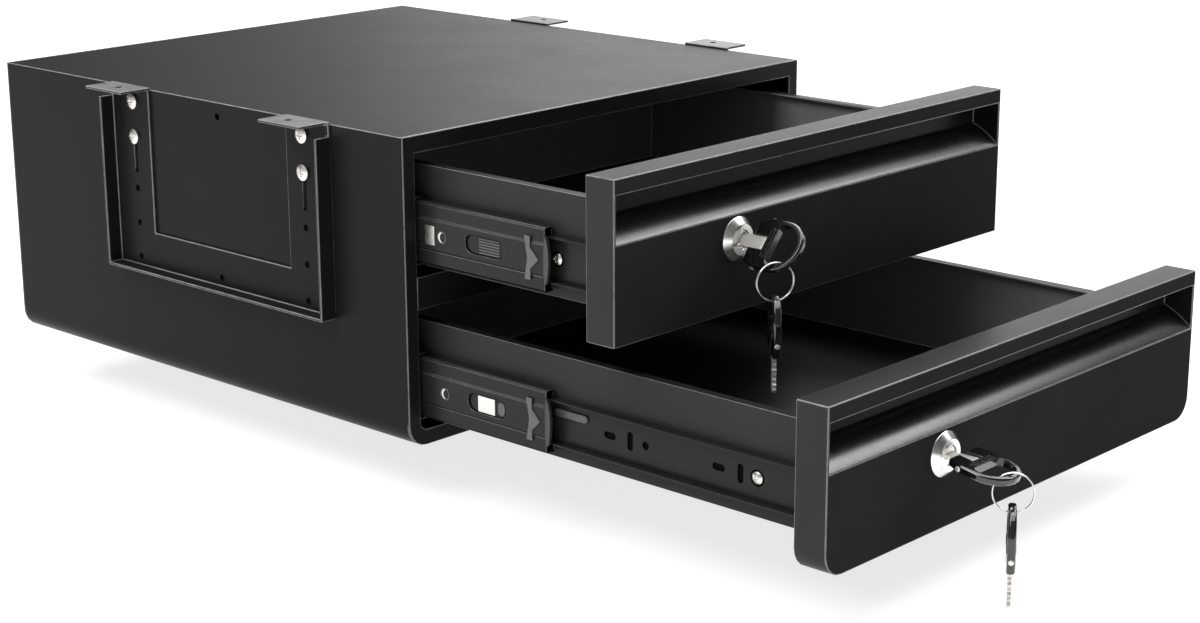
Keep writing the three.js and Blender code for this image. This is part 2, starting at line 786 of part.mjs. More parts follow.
function addKeys(drawer, still, turning) {
  addMesh(`${drawer.name}_lock_housing`, makeLockHousing(), surfaces.chrome, still);
  addMesh(`${drawer.name}_lock_nut`, makeLockNut(), surfaces.nickel, still);
  addMesh(`${drawer.name}_lock_plug`, makeLockPlug(), surfaces.nickel, turning);
  const cam = addMesh(`${drawer.name}_lock_cam`, makeLockCam(), surfaces.nickel, still);
  cam.rotation.y = THREE.MathUtils.degToRad(drawer.camTurn);
  addMesh(`${drawer.name}_key_blade`, makeKeyBlade(), surfaces.nickel, turning);
  const folding = new THREE.Group();
  folding.position.y = pinY;
  folding.rotation.z = THREE.MathUtils.degToRad(drawer.keyFold);
  turning.add(folding);
  const head = addMesh(`${drawer.name}_key_head`, makeKeyHead(), surfaces.plastic, folding);
  head.position.y = -pinY;
}

// A group at the ring's centre, turned about the upright axis.
function hangingGroup(drawer, turn) {
  const group = new THREE.Group();
  group.position.copy(rimPoint(drawer));
  group.position.z -= ringDrop;
  group.rotation.z = -THREE.MathUtils.degToRad(turn);
  part.add(group);
  return group;
}

function addRingAndSpare(drawer) {
  const loop = hangingGroup(drawer, drawer.ringTurn);
  const wire = new THREE.TorusGeometry(ringRadius, ringWire, wireSides, ringSteps);
  const ring = addMesh(`${drawer.name}_key_ring`, solidOf(wire), surfaces.nickel, loop);
  ring.rotation.x = Math.PI / 2;
  const spare = new THREE.Group();
  const openingEdge = headStart + headLength - headRim;
  spare.position.z = -ringInner + ringSag(drawer) + keyClearance - openingEdge;
  spare.rotation.x = -Math.PI / 2;
  hangingGroup(drawer, drawer.spareTurn).add(spare);
  addMesh(`${drawer.name}_spare_key_head`, makeKeyHead(), surfaces.plastic, spare);
  addMesh(`${drawer.name}_spare_key_blade`, makeKeyBlade(), surfaces.nickel, spare);
}

// The whole part

addMesh('cabinet_shell', makeCabinetShell(), surfaces.coat);
addMesh('cabinet_top', makeCabinetTop(), surfaces.coat);
addMesh('cabinet_back', makeCabinetBack(), surfaces.coat);
addMesh('front_frame', makeFrontFrame(), surfaces.coat);
addMesh('divider_rail', makeDividerRail(), surfaces.coat);

drawerSides.forEach(({ name, sign }) => {
  addMesh(`${name}_slide_carrier`, makeSlideCarrier(sign), surfaces.coat);
  addMesh(`${name}_desk_bracket`, makeDeskBracket(sign), surfaces.coat);
  boltPlaces().forEach(([y, z]) => {
    const end = y < 0 ? 'front' : 'rear';
    const row = z < topZ - topBoltDrop ? 'lower' : 'upper';
    addMesh(`${name}_${end}_${row}_bolt`, makeBracketBolt(sign, y, z), surfaces.nickel);
  });
});

drawers.forEach((drawer) => {
  addMesh(`${drawer.name}_drawer_front`, makeDrawerFront(drawer), surfaces.coat);
  addMesh(`${drawer.name}_drawer_tray`, makeDrawerTray(drawer), surfaces.coat);
  drawerSides.forEach(({ name, sign }) => {
    const label = `${drawer.name}_${name}`;
    addMesh(`${label}_outer_rail`, makeOuterRail(drawer, sign), surfaces.slide);
    addMesh(`${label}_middle_rail`, makeMiddleRail(drawer, sign), surfaces.slide);
    addMesh(`${label}_drawer_rail`, makeDrawerRail(drawer, sign), surfaces.slide);
    addMesh(`${label}_slide_latch`, makeSlideLatch(drawer, sign), surfaces.cast);
    addMesh(`${label}_slide_bumper`, makeSlideBumper(drawer, sign), surfaces.plastic);
  });
  const still = new THREE.Group();
  still.position.copy(lockOrigin(drawer));
  part.add(still);
  const turning = new THREE.Group();
  turning.rotation.y = THREE.MathUtils.degToRad(drawer.keyTurn);
  still.add(turning);
  addKeys(drawer, still, turning);
  addRingAndSpare(drawer);
});

export default part;
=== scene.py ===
"""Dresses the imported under-desk drawer cabinet.

It adds the finishes, rounded sheet edges, the slides' small details, the locks' shine and the keys.
"""

import json
import math

import bmesh
import bpy
from mathutils import Matrix, Vector

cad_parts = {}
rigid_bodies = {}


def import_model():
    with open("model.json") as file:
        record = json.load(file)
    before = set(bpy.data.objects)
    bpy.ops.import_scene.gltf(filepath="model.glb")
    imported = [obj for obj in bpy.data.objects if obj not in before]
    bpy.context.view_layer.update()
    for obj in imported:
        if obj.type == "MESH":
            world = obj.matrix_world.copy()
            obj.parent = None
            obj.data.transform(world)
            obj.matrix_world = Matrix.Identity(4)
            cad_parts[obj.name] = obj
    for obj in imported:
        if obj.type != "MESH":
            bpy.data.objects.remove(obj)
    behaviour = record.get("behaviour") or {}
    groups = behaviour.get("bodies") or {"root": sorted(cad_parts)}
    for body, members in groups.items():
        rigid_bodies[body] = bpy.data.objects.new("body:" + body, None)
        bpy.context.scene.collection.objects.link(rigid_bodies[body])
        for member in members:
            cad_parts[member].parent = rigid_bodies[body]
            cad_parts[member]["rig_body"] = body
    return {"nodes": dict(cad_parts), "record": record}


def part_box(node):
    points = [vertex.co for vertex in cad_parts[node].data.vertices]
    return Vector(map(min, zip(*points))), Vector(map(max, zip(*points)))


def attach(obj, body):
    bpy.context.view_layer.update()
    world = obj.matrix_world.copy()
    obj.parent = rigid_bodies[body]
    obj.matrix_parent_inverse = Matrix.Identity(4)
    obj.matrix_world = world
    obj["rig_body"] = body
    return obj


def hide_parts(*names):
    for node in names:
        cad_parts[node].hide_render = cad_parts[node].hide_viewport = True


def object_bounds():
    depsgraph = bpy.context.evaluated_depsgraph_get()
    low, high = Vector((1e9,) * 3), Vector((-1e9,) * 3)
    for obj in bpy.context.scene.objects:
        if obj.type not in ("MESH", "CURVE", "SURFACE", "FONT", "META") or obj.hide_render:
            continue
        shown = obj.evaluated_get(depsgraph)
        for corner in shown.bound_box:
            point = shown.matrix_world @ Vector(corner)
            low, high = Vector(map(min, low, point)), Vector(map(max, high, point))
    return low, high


MM = 0.001

# Camera, found from the photograph's straight edges
camera_place = (-1.1755, -1.25685, 0.2854)
camera_yaw = 47.2027
camera_pitch = -15.4878
camera_roll = -0.2223
camera_focal = 2345.68
camera_clip = (0.01, 200)
image_width = 1200
sensor_width = 36

# Studio
floor_gap = 1 * MM
floor_half_width = 40
floor_glow = 0.78
floor_tones = (0.38, 0.40)
floor_glow_tones = (0.98, 1.0)
floor_patch_size = 300 * MM
overhead_power = 3.3
overhead_spread = 75
overhead_tilt = (-12, 10)
studio_panels = {
    "left_panel": {"place": (-1.5, 0.2, 1.6), "aim": (0, -0.2, -0.1), "size": (1.2, 1.0), "power": 24},
    "rear_panel": {"place": (-0.6, 1.6, 1.1), "aim": (0, 0, -0.1), "size": (1.2, 0.5), "power": 10},
    "right_panel": {"place": (1.7, -1.2, 1.6), "aim": (0, -0.4, -0.1), "size": (1.2, 0.7), "power": 20},
}

# The studio's brightness all the way round: front 0, left 0.25, behind 0.5, right 0.75, front 1
studio_strength = 2.2
studio_ring = (
    (0.0, 0.03), (0.12, 0.10), (0.25, 0.18), (0.345, 0.24), (0.372, 0.13), (0.41, 0.06), (0.5, 0.03),
    (0.59, 0.03), (0.612, 0.2), (0.625, 0.65), (0.64, 0.9), (0.66, 1.0), (0.72, 0.8), (0.76, 0.1),
    (1.0, 0.03),
)

# Grain of the finishes: sizes, relief, darkest and palest shares of a level, and swings of the sheen
noise_middle = 0.5
peel_size = 0.9 * MM
peel_relief = 0.02 * MM
peel_strength = 0.5
patch_size = 70 * MM
patch_share = 0.7
patch_sheen = 0.10
dust_size = 4 * MM
dust_share = 0.3
dust_sheen = 0.08
coat_shares = (0.75, 1.3)
rub_size = 9 * MM
rub_gain = 1.2
rub_offset = 0.2
rub_sheen = 0.2
nick_size = 1.4 * MM
nick_gain = 0.5
edge_shares = (0.5, 1.6)
scratch_size = 0.25 * MM
scratch_stretch = (1, 0.08, 1)
scratch_relief = 0.01 * MM
scratch_sheen = 0.12
tarnish_size = 6 * MM
tarnish_share = 0.86
tarnish_sheen = 0.10
cast_grain_size = 0.5 * MM
cast_grain_relief = 0.06 * MM
cast_grain_strength = 0.6
cast_grain_sheen = 0.2
cast_grain_share = 0.5
cast_cloud_size = 5 * MM
cast_levels = (0.07, 0.16)
cast_roughness = 0.38
flow_size = 14 * MM
flow_stretch = (1, 1, 0.3)
flow_relief = 0.02 * MM
flow_strength = 0.06
plastic_shares = (0.8, 1.25)
scuff_size = 1.2 * MM
scuff_gain = 1.2
scuff_offset = 0.7
scuff_sheen = 0.25

# Sheet edges
edge_width = 0.4 * MM
edge_widths = {
    "cabinet_shell": 0.6 * MM, "cabinet_top": 0.6 * MM, "cabinet_back": 0.5 * MM, "front_frame": 0.6 * MM,
    "left_desk_bracket": 0.7 * MM, "right_desk_bracket": 0.7 * MM,
    "lower_drawer_front": 0.7 * MM, "upper_drawer_front": 0.7 * MM,
    "lower_lock_housing": 0.3 * MM, "upper_lock_housing": 0.3 * MM,
}
tray_edge_width = 0.3 * MM
edge_angle = 35
shortest_edge = 1.55 * MM
seam_slack = 0.1 * MM
tab_slack = 0.2 * MM
merge_distance = 0.002 * MM
flat_angle = 0.5

# Trays and finger pulls, with heights measured down from the front's top edge
tray_wall = 2 * MM
pull_band = (26 * MM, 39.6 * MM)
pull_depth = 21 * MM
pull_end_wall = 2 * MM
ledge_back = 26.5 * MM
ledge_lip = 39.5 * MM
ledge_bulge_share = 0.5

# Which way a face looks: the share of its normal that lies along an axis
facing_share = 0.9
steep_share = 0.5
crossing_share = 0.1
shadow_share = -0.2

# Angles in degrees up to which the shading runs smoothly over an edge
smooth_angle = 50
detail_angle = 40
round_angle = 60
blade_angle = 30

# How far a drawn detail reaches into its neighbour, or stands out of it
proud = 0.25 * MM

# Bolts that hold the brackets
bolt_shank_radius = 2.5 * MM
bolt_head_height = 3 * MM
bolt_dome_height = 1.3 * MM
bolt_recess_width = 1.3 * MM
bolt_recess_length = 5.2 * MM
bolt_recess_depth = 1.5 * MM
bolt_nut_width = 8 * MM
bolt_nut_height = 4 * MM
bolt_nut_softening = 0.2 * MM
dome_rings = 14
dome_spokes = 48

# Slide details, measured from the slide's centre height and from the front of each section
slide_sheet = 1.2 * MM
recess_gap = 0.3 * MM
web_softening = 0.15 * MM
lip_softening = 0.3 * MM
hole_sides = 24
screw_radius = 3.9 * MM
screw_height = 2.0 * MM
screw_recess_width = 0.9 * MM
screw_recess_length = 3.6 * MM
screw_recess_depth = 0.8 * MM
screw_hole_radius = 5.2 * MM
member_hole_radius = 2.6 * MM
member_hole_pitch = 86 * MM
first_hole_from_front = 43 * MM
slot_width = 4.4 * MM
upright_slot_length = 12 * MM
level_slot_length = 9.5 * MM
upright_slot_from_hole = 12.5 * MM
level_slot_from_hole = 29 * MM
lance_from_front = 189.5 * MM
lance_length = 28 * MM
lance_height = 5.2 * MM
lance_proud = 1.4 * MM
lance_above_centre = 6 * MM
lance_softening = 0.6 * MM
window_from_front = 51 * MM
window_length = 35 * MM
window_height = 12 * MM
insert_thickness = 1.0 * MM
insert_softening = 0.2 * MM
ridge_count = 6
ridge_radius = 0.55 * MM
ridge_half_length = 9 * MM
ridge_margin = 3 * MM
ridge_sides = 12
block_to_front = 6 * MM
block_to_rear = 9 * MM
block_half_height = 5.3 * MM
block_proud = 0.8 * MM
stub_from_centre = 11.5 * MM
stub_length = 6 * MM
stub_height = 9 * MM
stub_proud = 0.5 * MM
tongue_from_front = 100.5 * MM
tongue_length = 8.5 * MM
tongue_height = 12.5 * MM
dark_slot_length = 3 * MM
mark_softening = 0.1 * MM
eyelet_from_front = 89.5 * MM
eyelet_radius = 4.2 * MM
eyelet_rim = 0.9 * MM
eyelet_shade_shift = 1.6 * MM
eyelet_softening = 0.02 * MM

# Keys, in their own frame: y towards the blade's tip, z across the blade, x through it
key_head_start = 12.5 * MM
blade_thickness = 2.4 * MM
blade_width = 9 * MM
blade_tip = 12 * MM
blade_softening = 0.2 * MM
key_pin_place = -21.5 * MM
key_pin_reach = 17.45 * MM
key_pin_radius = 0.9 * MM
rivet_radius = 1.7 * MM
rivet_height = 0.4 * MM
rivet_top_share = 0.6
pin_sides = 16
tooth_pitch = 2.6 * MM
tooth_step_share = 1.2
tooth_top_share = 0.3
tooth_cut_shares = (0.6, 0.9)
tooth_depths = (0.6 * MM, 1.3 * MM, 0.4 * MM, 1.0 * MM, 1.4 * MM, 0.8 * MM)
head_thickness = 5 * MM
rib_height = 0.4 * MM
rib_wall = 1.2 * MM
rib_softening = 0.15 * MM

# Each rib of a key head: its place, its length across the head and its width
head_ribs = ((-25.4 * MM, 21 * MM, 3.6 * MM), (-28.4 * MM, 20 * MM, 0.9 * MM))

# How far each lock's key head hangs down from its blade, in degrees
head_droop = {"lower": 10, "upper": 0}

# Split rings
ring_radius = 12 * MM
ring_wire = 0.9 * MM
ring_turns = 2
ring_steps_a_turn = 96
wire_sides = 12
ring_cut_angle = 0.9
crossing_steepness = 14

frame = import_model()
frame_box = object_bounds()
joints = {joint["name"]: joint for joint in frame["record"]["behaviour"]["joints"]}


class Value:
    """A shader socket that takes part in Python arithmetic."""

    def __init__(self, shader, socket):
        self.shader = shader
        self.socket = socket

    def maths(self, operation, first, second):
        return self.shader.node("ShaderNodeMath", {"operation": operation}, {0: first, 1: second})

    def __add__(self, other):
        return self.maths("ADD", self, other)

    __radd__ = __add__

    def __mul__(self, other):
        return self.maths("MULTIPLY", self, other)

    __rmul__ = __mul__

    def __sub__(self, other):
        return self.maths("SUBTRACT", self, other)

    def __rsub__(self, other):
        return self.maths("SUBTRACT", other, self)

    def clamped(self):
        return self.maths("MINIMUM", self.maths("MAXIMUM", self, 0), 1)


def set_stops(ramp, stops):
    """Puts a grey level at each place of a colour ramp."""
    ramp.elements[0].position = stops[0][0]
    ramp.elements[1].position = stops[-1][0]
    for place, _ in stops[1:-1]:
        ramp.elements.new(place)
    for element, (_, level) in zip(ramp.elements, stops):
        element.color = (level, level, level, 1)


class Shader:
    """A tree of shader nodes."""

    def __init__(self, tree):
        self.tree = tree

    def node(self, kind, settings=None, inputs=None, output=0):
        """Adds a node: its settings first, then the values or links of its sockets."""
        made = self.tree.nodes.new(kind)
        for name, value in (settings or {}).items():
            if name == "stops":
                set_stops(made.color_ramp, value)
            else:
                setattr(made, name, value)
        for key, value in (inputs or {}).items():
            if isinstance(value, Value):
                self.tree.links.new(value.socket, made.inputs[key])
            else:
                made.inputs[key].default_value = value
        return Value(self, made.outputs[output]) if made.outputs else None


class Finish(Shader):
    """One procedural material."""

    def __init__(self, name, **constants):
        self.material = bpy.data.materials.new(name)
        self.material.use_nodes = True
        super().__init__(self.material.node_tree)
        self.surface = self.tree.nodes["Principled BSDF"]
        for socket, value in constants.items():
            self.surface.inputs[socket.replace("_", " ")].default_value = value

    def place(self):
        return self.node("ShaderNodeTexCoord", output="Object")

    def stretched(self, scale):
        return self.node("ShaderNodeMapping", inputs={"Vector": self.place(), "Scale": scale})

    def noise(self, size, detail, place=None):
        inputs = {"Vector": place or self.place(), "Scale": 1 / size, "Detail": detail}
        return self.node("ShaderNodeTexNoise", inputs=inputs)

    def between(self, share, low, high):
        """A colour between two others. A Mix node has its colours at inputs 6 and 7 and output 2."""
        inputs = {"Factor": share, 6: (*low, 1), 7: (*high, 1)}
        return self.node("ShaderNodeMix", {"data_type": "RGBA"}, inputs, output=2)

    def feed(self, **values):
        for socket, value in values.items():
            self.tree.links.new(value.socket, self.surface.inputs[socket.replace("_", " ")])
        return self

    def greys(self, share, low, high):
        return self.between(share, (low, low, low), (high, high, high))

    def bump(self, height, depth, strength):
        return self.node("ShaderNodeBump", inputs={"Height": height, "Distance": depth, "Strength": strength})


def powder_coat(name, level, roughness, gloss):
    """Satin powder coat: a fine orange peel under a slightly uneven sheen."""
    finish = Finish(name, Specular_IOR_Level=gloss)
    peel = finish.noise(peel_size, 3)
    patches = finish.noise(patch_size, 4)
    dust = finish.noise(dust_size, 5)
    shade = (patches * patch_share + dust * dust_share).clamped()
    colour = finish.greys(shade, level * coat_shares[0], level * coat_shares[1])
    sheen = roughness + (patches - noise_middle) * patch_sheen + (dust - noise_middle) * dust_sheen
    relief = finish.bump(peel, peel_relief, peel_strength)
    return finish.feed(Base_Color=colour, Roughness=sheen.clamped(), Normal=relief)


def rubbed_painted_highlight(name, level, roughness):
    """The bend or cut edge of a coated sheet, rubbed a little smoother than the flats, and paler: a painted
    highlight mixed with a little real rubbing wear.
    """
    finish = Finish(name, Specular_IOR_Level=0.6)
    rub = finish.noise(rub_size, 4)
    nick = finish.noise(nick_size, 2)
    wear = (rub * rub_gain - rub_offset + (nick - noise_middle) * nick_gain).clamped()
    colour = finish.greys(wear, level * edge_shares[0], level * edge_shares[1])
    sheen = roughness + (rub - noise_middle) * rub_sheen
    return finish.feed(Base_Color=colour, Roughness=sheen.clamped())


def plated(name, colour, roughness, scratches=0.5, metallic=1.0):
    """Plated metal with fine rubbing marks along it."""
    finish = Finish(name, Metallic=metallic)
    marks = finish.noise(scratch_size, 2, finish.stretched(scratch_stretch))
    cloud = finish.noise(tarnish_size, 3)
    shade = finish.between(cloud, [part * tarnish_share for part in colour], colour)
    rubbed = (marks - noise_middle) * scratch_sheen * scratches
    sheen = roughness + rubbed + (cloud - noise_middle) * tarnish_sheen
    relief = finish.bump(marks, scratch_relief, scratches)
    return finish.feed(Base_Color=shade, Roughness=sheen.clamped(), Normal=relief)


def cast_metal(name):
    """The grainy grey of a small die-cast lever."""
    finish = Finish(name, Metallic=0.35, Specular_IOR_Level=0.5)
    grain = finish.noise(cast_grain_size, 3)
    cloud = finish.noise(cast_cloud_size, 3)
    shade = (grain * cast_grain_share + cloud * (1 - cast_grain_share)).clamped()
    colour = finish.greys(shade, cast_levels[0], cast_levels[1])
    sheen = cast_roughness + grain * cast_grain_sheen
    relief = finish.bump(grain, cast_grain_relief, cast_grain_strength)
    return finish.feed(Base_Color=colour, Roughness=sheen.clamped(), Normal=relief)


def moulded_plastic(name, level, roughness, coat):
    """Moulded plastic: smooth, with faint flow marks and a few handling scuffs."""
    finish = Finish(name, Coat_Weight=coat, Coat_Roughness=0.05, Specular_IOR_Level=0.5)
    flow = finish.noise(flow_size, 2, finish.stretched(flow_stretch))
    scuff = finish.noise(scuff_size, 4)
    colour = finish.greys(flow, level * plastic_shares[0], level * plastic_shares[1])
    worn = (scuff * scuff_gain - scuff_offset).clamped()
    sheen = roughness + worn * scuff_sheen
    relief = finish.bump(flow, flow_relief, flow_strength)
    return finish.feed(Base_Color=colour, Roughness=sheen.clamped(), Normal=relief)


coat = powder_coat("satin_black_coat", level=0.012, roughness=0.33, gloss=0.05)
# Painted highlight: the coat's rounded edges are paler than its flats, with a little rubbing wear
coat_edge_rub_and_highlight = rubbed_painted_highlight("rubbed_coat_edge", level=0.15, roughness=0.3)
# Painted light: a paler copy of the coat for the trays, lifting them where too little light reaches
tray_coat = powder_coat("tray_coat", level=0.03, roughness=0.36, gloss=0.08)
# Painted light: the inner faces of the tray walls are paler still
tray_inside_painted_light = powder_coat("coat_inside_the_trays", level=0.20, roughness=0.40, gloss=0.2)
# Painted shade: a near-black coat for the slides' holes and the undersides of their edges
painted_shade_black = powder_coat("coat_in_the_recesses", level=0.003, roughness=0.6, gloss=0.02)
pull_sheen = powder_coat("coat_rubbed_by_fingers", level=0.014, roughness=0.24, gloss=0.6)
# Painted highlight: near-white lines along the bends inside the trays
bend_painted_highlight = rubbed_painted_highlight("rubbed_bend_line", level=0.9, roughness=0.3)
# Painted light: the front faces get a paler copy of the coat with no gloss, their brightness painted in place
# of a reflection
front_painted_light_coat = powder_coat("satin_front_coat", level=0.024, roughness=0.45, gloss=0.0)
# Painted light: the upward faces of the bracket tabs are paler, as lit from above
tab_top_painted_light = rubbed_painted_highlight("coat_rubbed_by_the_desk", level=0.10, roughness=0.4)
# Painted highlight: a paler copy of the slide steel for the pressed tongues and the eyelet rims
slide_steel_painted_highlight = rubbed_painted_highlight("pressed_slide_steel", level=0.06, roughness=0.3)
slide_black = powder_coat("black_slide_steel", level=0.016, roughness=0.30, gloss=0.15)
# Painted highlight: the slide steel's rounded edges are paler than its flats, with a little rubbing wear
slide_edge_rub_and_highlight = rubbed_painted_highlight("rubbed_slide_edge", level=0.05, roughness=0.25)
nickel = plated("nickel_plate_finish", (0.80, 0.78, 0.75), roughness=0.28)
chrome = plated("chrome_plate_finish", (0.93, 0.92, 0.90), roughness=0.24, scratches=0.2)
blade_nickel = plated("key_blade_nickel", (0.86, 0.84, 0.80), roughness=0.35, scratches=0.3, metallic=0.6)
cast = cast_metal("cast_lever_metal")
key_black = moulded_plastic("glossy_key_plastic", level=0.005, roughness=0.16, coat=0.9)
bumper_grey = moulded_plastic("bumper_plastic_finish", level=0.03, roughness=0.4, coat=0.1)

finishes = {
    "powder_coat": (coat, coat_edge_rub_and_highlight),
    "slide_steel": (slide_black, slide_edge_rub_and_highlight),
    "cast_metal": (cast, cast),
    "nickel_plate": (nickel, nickel),
    "chrome_plate": (chrome, chrome),
    "key_plastic": (key_black, key_black),
    "bumper_plastic": (bumper_grey, bumper_grey),
}
slot_of = {part["node"]: part["material_slot"] for part in frame["record"]["subparts"]}


def evaluated_mesh(piece):
    """The piece's mesh with its modifiers applied, and the modifiers removed."""
    bpy.context.view_layer.update()
    graph = bpy.context.evaluated_depsgraph_get()
    final = piece.evaluated_get(graph)
    mesh = bpy.data.meshes.new_from_object(final, preserve_all_data_layers=True, depsgraph=graph)
    piece.modifiers.clear()
    old = piece.data
    piece.data = mesh
    mesh.name = piece.name
    bpy.data.meshes.remove(old)
    return piece


def linked(name, mesh):
    piece = bpy.data.objects.new(name, mesh)
    bpy.context.scene.collection.objects.link(piece)
    return piece


def shaded(piece, angle=smooth_angle):
    """Smooth shading in which a large flat face stays flat and its narrow neighbours bend to meet it."""
    mesh = piece.data
    mesh.polygons.foreach_set("use_smooth", [True] * len(mesh.polygons))
    limit = math.cos(math.radians(angle))
    around = [[] for _ in mesh.vertices]
    for face in mesh.polygons:
        for corner in face.vertices:
            around[corner].append((face.normal.copy(), face.area))
    normals = []
    for face in mesh.polygons:
        for corner in face.vertices:
            bent = Vector()
            for normal, area in around[corner]:
                if normal.dot(face.normal) > limit:
                    bent += normal * area
            normals.append(bent.normalized() if bent.length > 0 else face.normal)
    mesh.normals_split_custom_set(normals)
    return piece


def finished(piece, body, slot):
    """Gives a piece its body. The slot is not used."""
    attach(piece, body)
    return piece


def merged_copy(node, name):
    mesh = frame["nodes"][node].data.copy()
    mesh.materials.clear()
    shape = bmesh.new()
    shape.from_mesh(mesh)
    bmesh.ops.remove_doubles(shape, verts=shape.verts, dist=merge_distance)
    flat = math.radians(flat_angle)
    bmesh.ops.dissolve_limit(shape, angle_limit=flat, verts=shape.verts, edges=shape.edges)
    shape.to_mesh(mesh)
    shape.free()
    return linked(name, mesh)


def rounded_edges(piece, width, wanted):
    """Rounds the piece's sharp edges in its second finish, for coat and slide steel a paler one that paints a
    highlight on them. The short edges round holes stay sharp.
    """
    shape = bmesh.new()
    shape.from_mesh(piece.data)
    limit = math.radians(edge_angle)
    chosen = []
    for edge in shape.edges:
        if not edge.is_manifold or edge.calc_face_angle(0) < limit or edge.calc_length() < shortest_edge:
            continue
        if wanted is None or wanted(edge):
            chosen.append(edge)
    bmesh.ops.bevel(shape, geom=chosen, affect="EDGES", offset=width, offset_type="OFFSET", segments=2,
                    profile=0.5, clamp_overlap=False, material=1)
    bmesh.ops.remove_doubles(shape, verts=shape.verts, dist=merge_distance)
    shape.to_mesh(piece.data)
    shape.free()
    return shaded(piece)


def above(height):
    return lambda edge: min(vertex.co.z for vertex in edge.verts) > height


def below(height):
    return lambda edge: max(vertex.co.z for vertex in edge.verts) < height


def dressed(node, width=edge_width, wanted=None, flat=None, reshape=None):
    """A CAD node again with rounded edges, in its slot's finish; on coat and slide steel the edges are paler,
    a painted highlight with a little rubbing wear.
    """
    slot = slot_of[node]
    main, edge = finishes[slot]
    piece = merged_copy(node, f"{node}_dressed")
    piece.data.materials.append((flat or main).material)
    piece.data.materials.append(edge.material)
    if reshape:
        for vertex in piece.data.vertices:
            vertex.co = reshape(vertex.co)
    rounded_edges(piece, width, wanted)
    finished(piece, frame["nodes"][node]["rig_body"], slot)
    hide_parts(node)
    return piece


def repaint(piece, kind, chosen, was=0):
    """Gives the chosen faces of one finish another."""
    piece.data.materials.append(kind.material)
    last = len(piece.data.materials) - 1
    for face in piece.data.polygons:
        if face.material_index == was and chosen(face):
            face.material_index = last
    return piece


def add_cabinet():
    """The cabinet's sheets. The lid sits in the shell, so the two share one rounded edge."""
    low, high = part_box("cabinet_top")
    dressed("cabinet_top", edge_widths["cabinet_top"], above(high.z - seam_slack))
    dressed("cabinet_shell", edge_widths["cabinet_shell"], below(low.z - seam_slack))
    for node in ("cabinet_back", "front_frame", "divider_rail", "left_slide_carrier", "right_slide_carrier"):
        dressed(node, edge_widths.get(node, edge_width))
    for side in ("left", "right"):
        node = f"{side}_desk_bracket"
        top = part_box(node)[1].z

        def on_tab(face):
            return face.normal.z > facing_share and face.center.z > top - tab_slack

        # The tabs' upward faces get painted light
        repaint(dressed(node, edge_widths[node]), tab_top_painted_light, on_tab)


def add_tray(node):
    """A tray in a paler copy of the coat that paints light onto it, with painted light on the inner walls,
    painted highlights along the bend lines inside and a folded rim in the plain dark coat.
    """
    tray = dressed(node, tray_edge_width, flat=tray_coat)
    low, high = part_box(node)
    middle = (low + high) / 2

    def inner(face):
        return abs(face.normal.z) < crossing_share and face.normal.dot(middle - face.center) > tray_wall

    def on_rim(face):
        return face.normal.z > facing_share and face.center.z > high.z - tray_wall

    def bend(face):
        from_low = face.center - low
        from_high = high - face.center
        off_wall = min(from_low.x, from_high.x, from_low.y, from_high.y)
        return off_wall > tray_wall / 2 and from_low.z > tray_wall / 4 and from_high.z > tray_wall

    repaint(tray, coat, on_rim)
    # The inner wall faces get painted light
    repaint(tray, tray_inside_painted_light, inner)
    # The bend lines inside get a painted highlight
    repaint(tray, bend_painted_highlight, bend, was=1)


def add_front(node):
    """A drawer front whose pull has a gently bulging, polished ledge."""
    low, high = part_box(node)

    def flatter_ledge(corner):
        behind_face = corner.y - low.y
        under_top = high.z - corner.z
        on_ledge = ledge_back - proud < under_top < ledge_lip + proud and behind_face < pull_depth - proud
        at_end = abs(corner.x) >= high.x - pull_end_wall - proud
        if not (on_ledge and at_end):
            return corner
        share = behind_face / pull_depth
        rise = share * (1 + ledge_bulge_share * (1 - share))
        return Vector((corner.x, corner.y, high.z - ledge_lip + (ledge_lip - ledge_back) * rise))

    front = dressed(node, edge_widths[node], reshape=flatter_ledge)

    def in_pull(face):
        under_top = high.z - face.center.z
        behind_face = face.center.y - low.y
        in_band = pull_band[0] < under_top < pull_band[1] and 0 < behind_face < pull_depth
        return in_band and face.normal.y < -crossing_share

    def painted_shade_back_crease(face):
        at_back = low.y + pull_depth - tray_wall < face.center.y < low.y + pull_depth + proud
        return at_back and abs(high.z - face.center.z - ledge_back) < tray_wall

    def painted_light_outer_side(face):
        outward = face.normal.x * face.center.x > 0
        return outward and abs(face.normal.y) < crossing_share and face.normal.z < steep_share

    repaint(front, pull_sheen, in_pull)
    # The front faces get their painted light
    repaint(front, front_painted_light_coat, lambda face: face.normal.y < -facing_share and face.center.y < low.y + proud)
    # The front's outward narrow sides get painted light
    repaint(front, tray_coat, painted_light_outer_side)
    # Painted shade: the edge faces in the crease behind the pull keep the dark coat instead of the paler edge
    repaint(front, coat, painted_shade_back_crease, was=1)


def add_drawers():
    for drawer in ("lower", "upper"):
        add_tray(f"{drawer}_drawer_tray")
        add_front(f"{drawer}_drawer_front")


# Shapes

def ring_of(count, radius, centre=(0, 0), start=0.0):
    angles = [start + 2 * math.pi / count * i for i in range(count)]
    return [(centre[0] + radius * math.cos(angle), centre[1] + radius * math.sin(angle)) for angle in angles]


def rounded_slot(centre, length, height, steps=10):
    """A slot outline whose long side lies along the first axis, or the second if it is higher than long."""
    radius = min(length, height) / 2
    reach = (max(length, height) - 2 * radius) / 2
    points = []
    for side in (1, -1):
        for i in range(steps + 1):
            angle = math.pi * (i / steps - 0.5)
            along = side * (reach + radius * math.cos(angle))
            across = side * radius * math.sin(angle)
            points.append((along, across) if length >= height else (-across, along))
    return [(centre[0] + a, centre[1] + b) for a, b in points]


def rectangle(low, high):
    return [(low[0], low[1]), (high[0], low[1]), (high[0], high[1]), (low[0], high[1])]


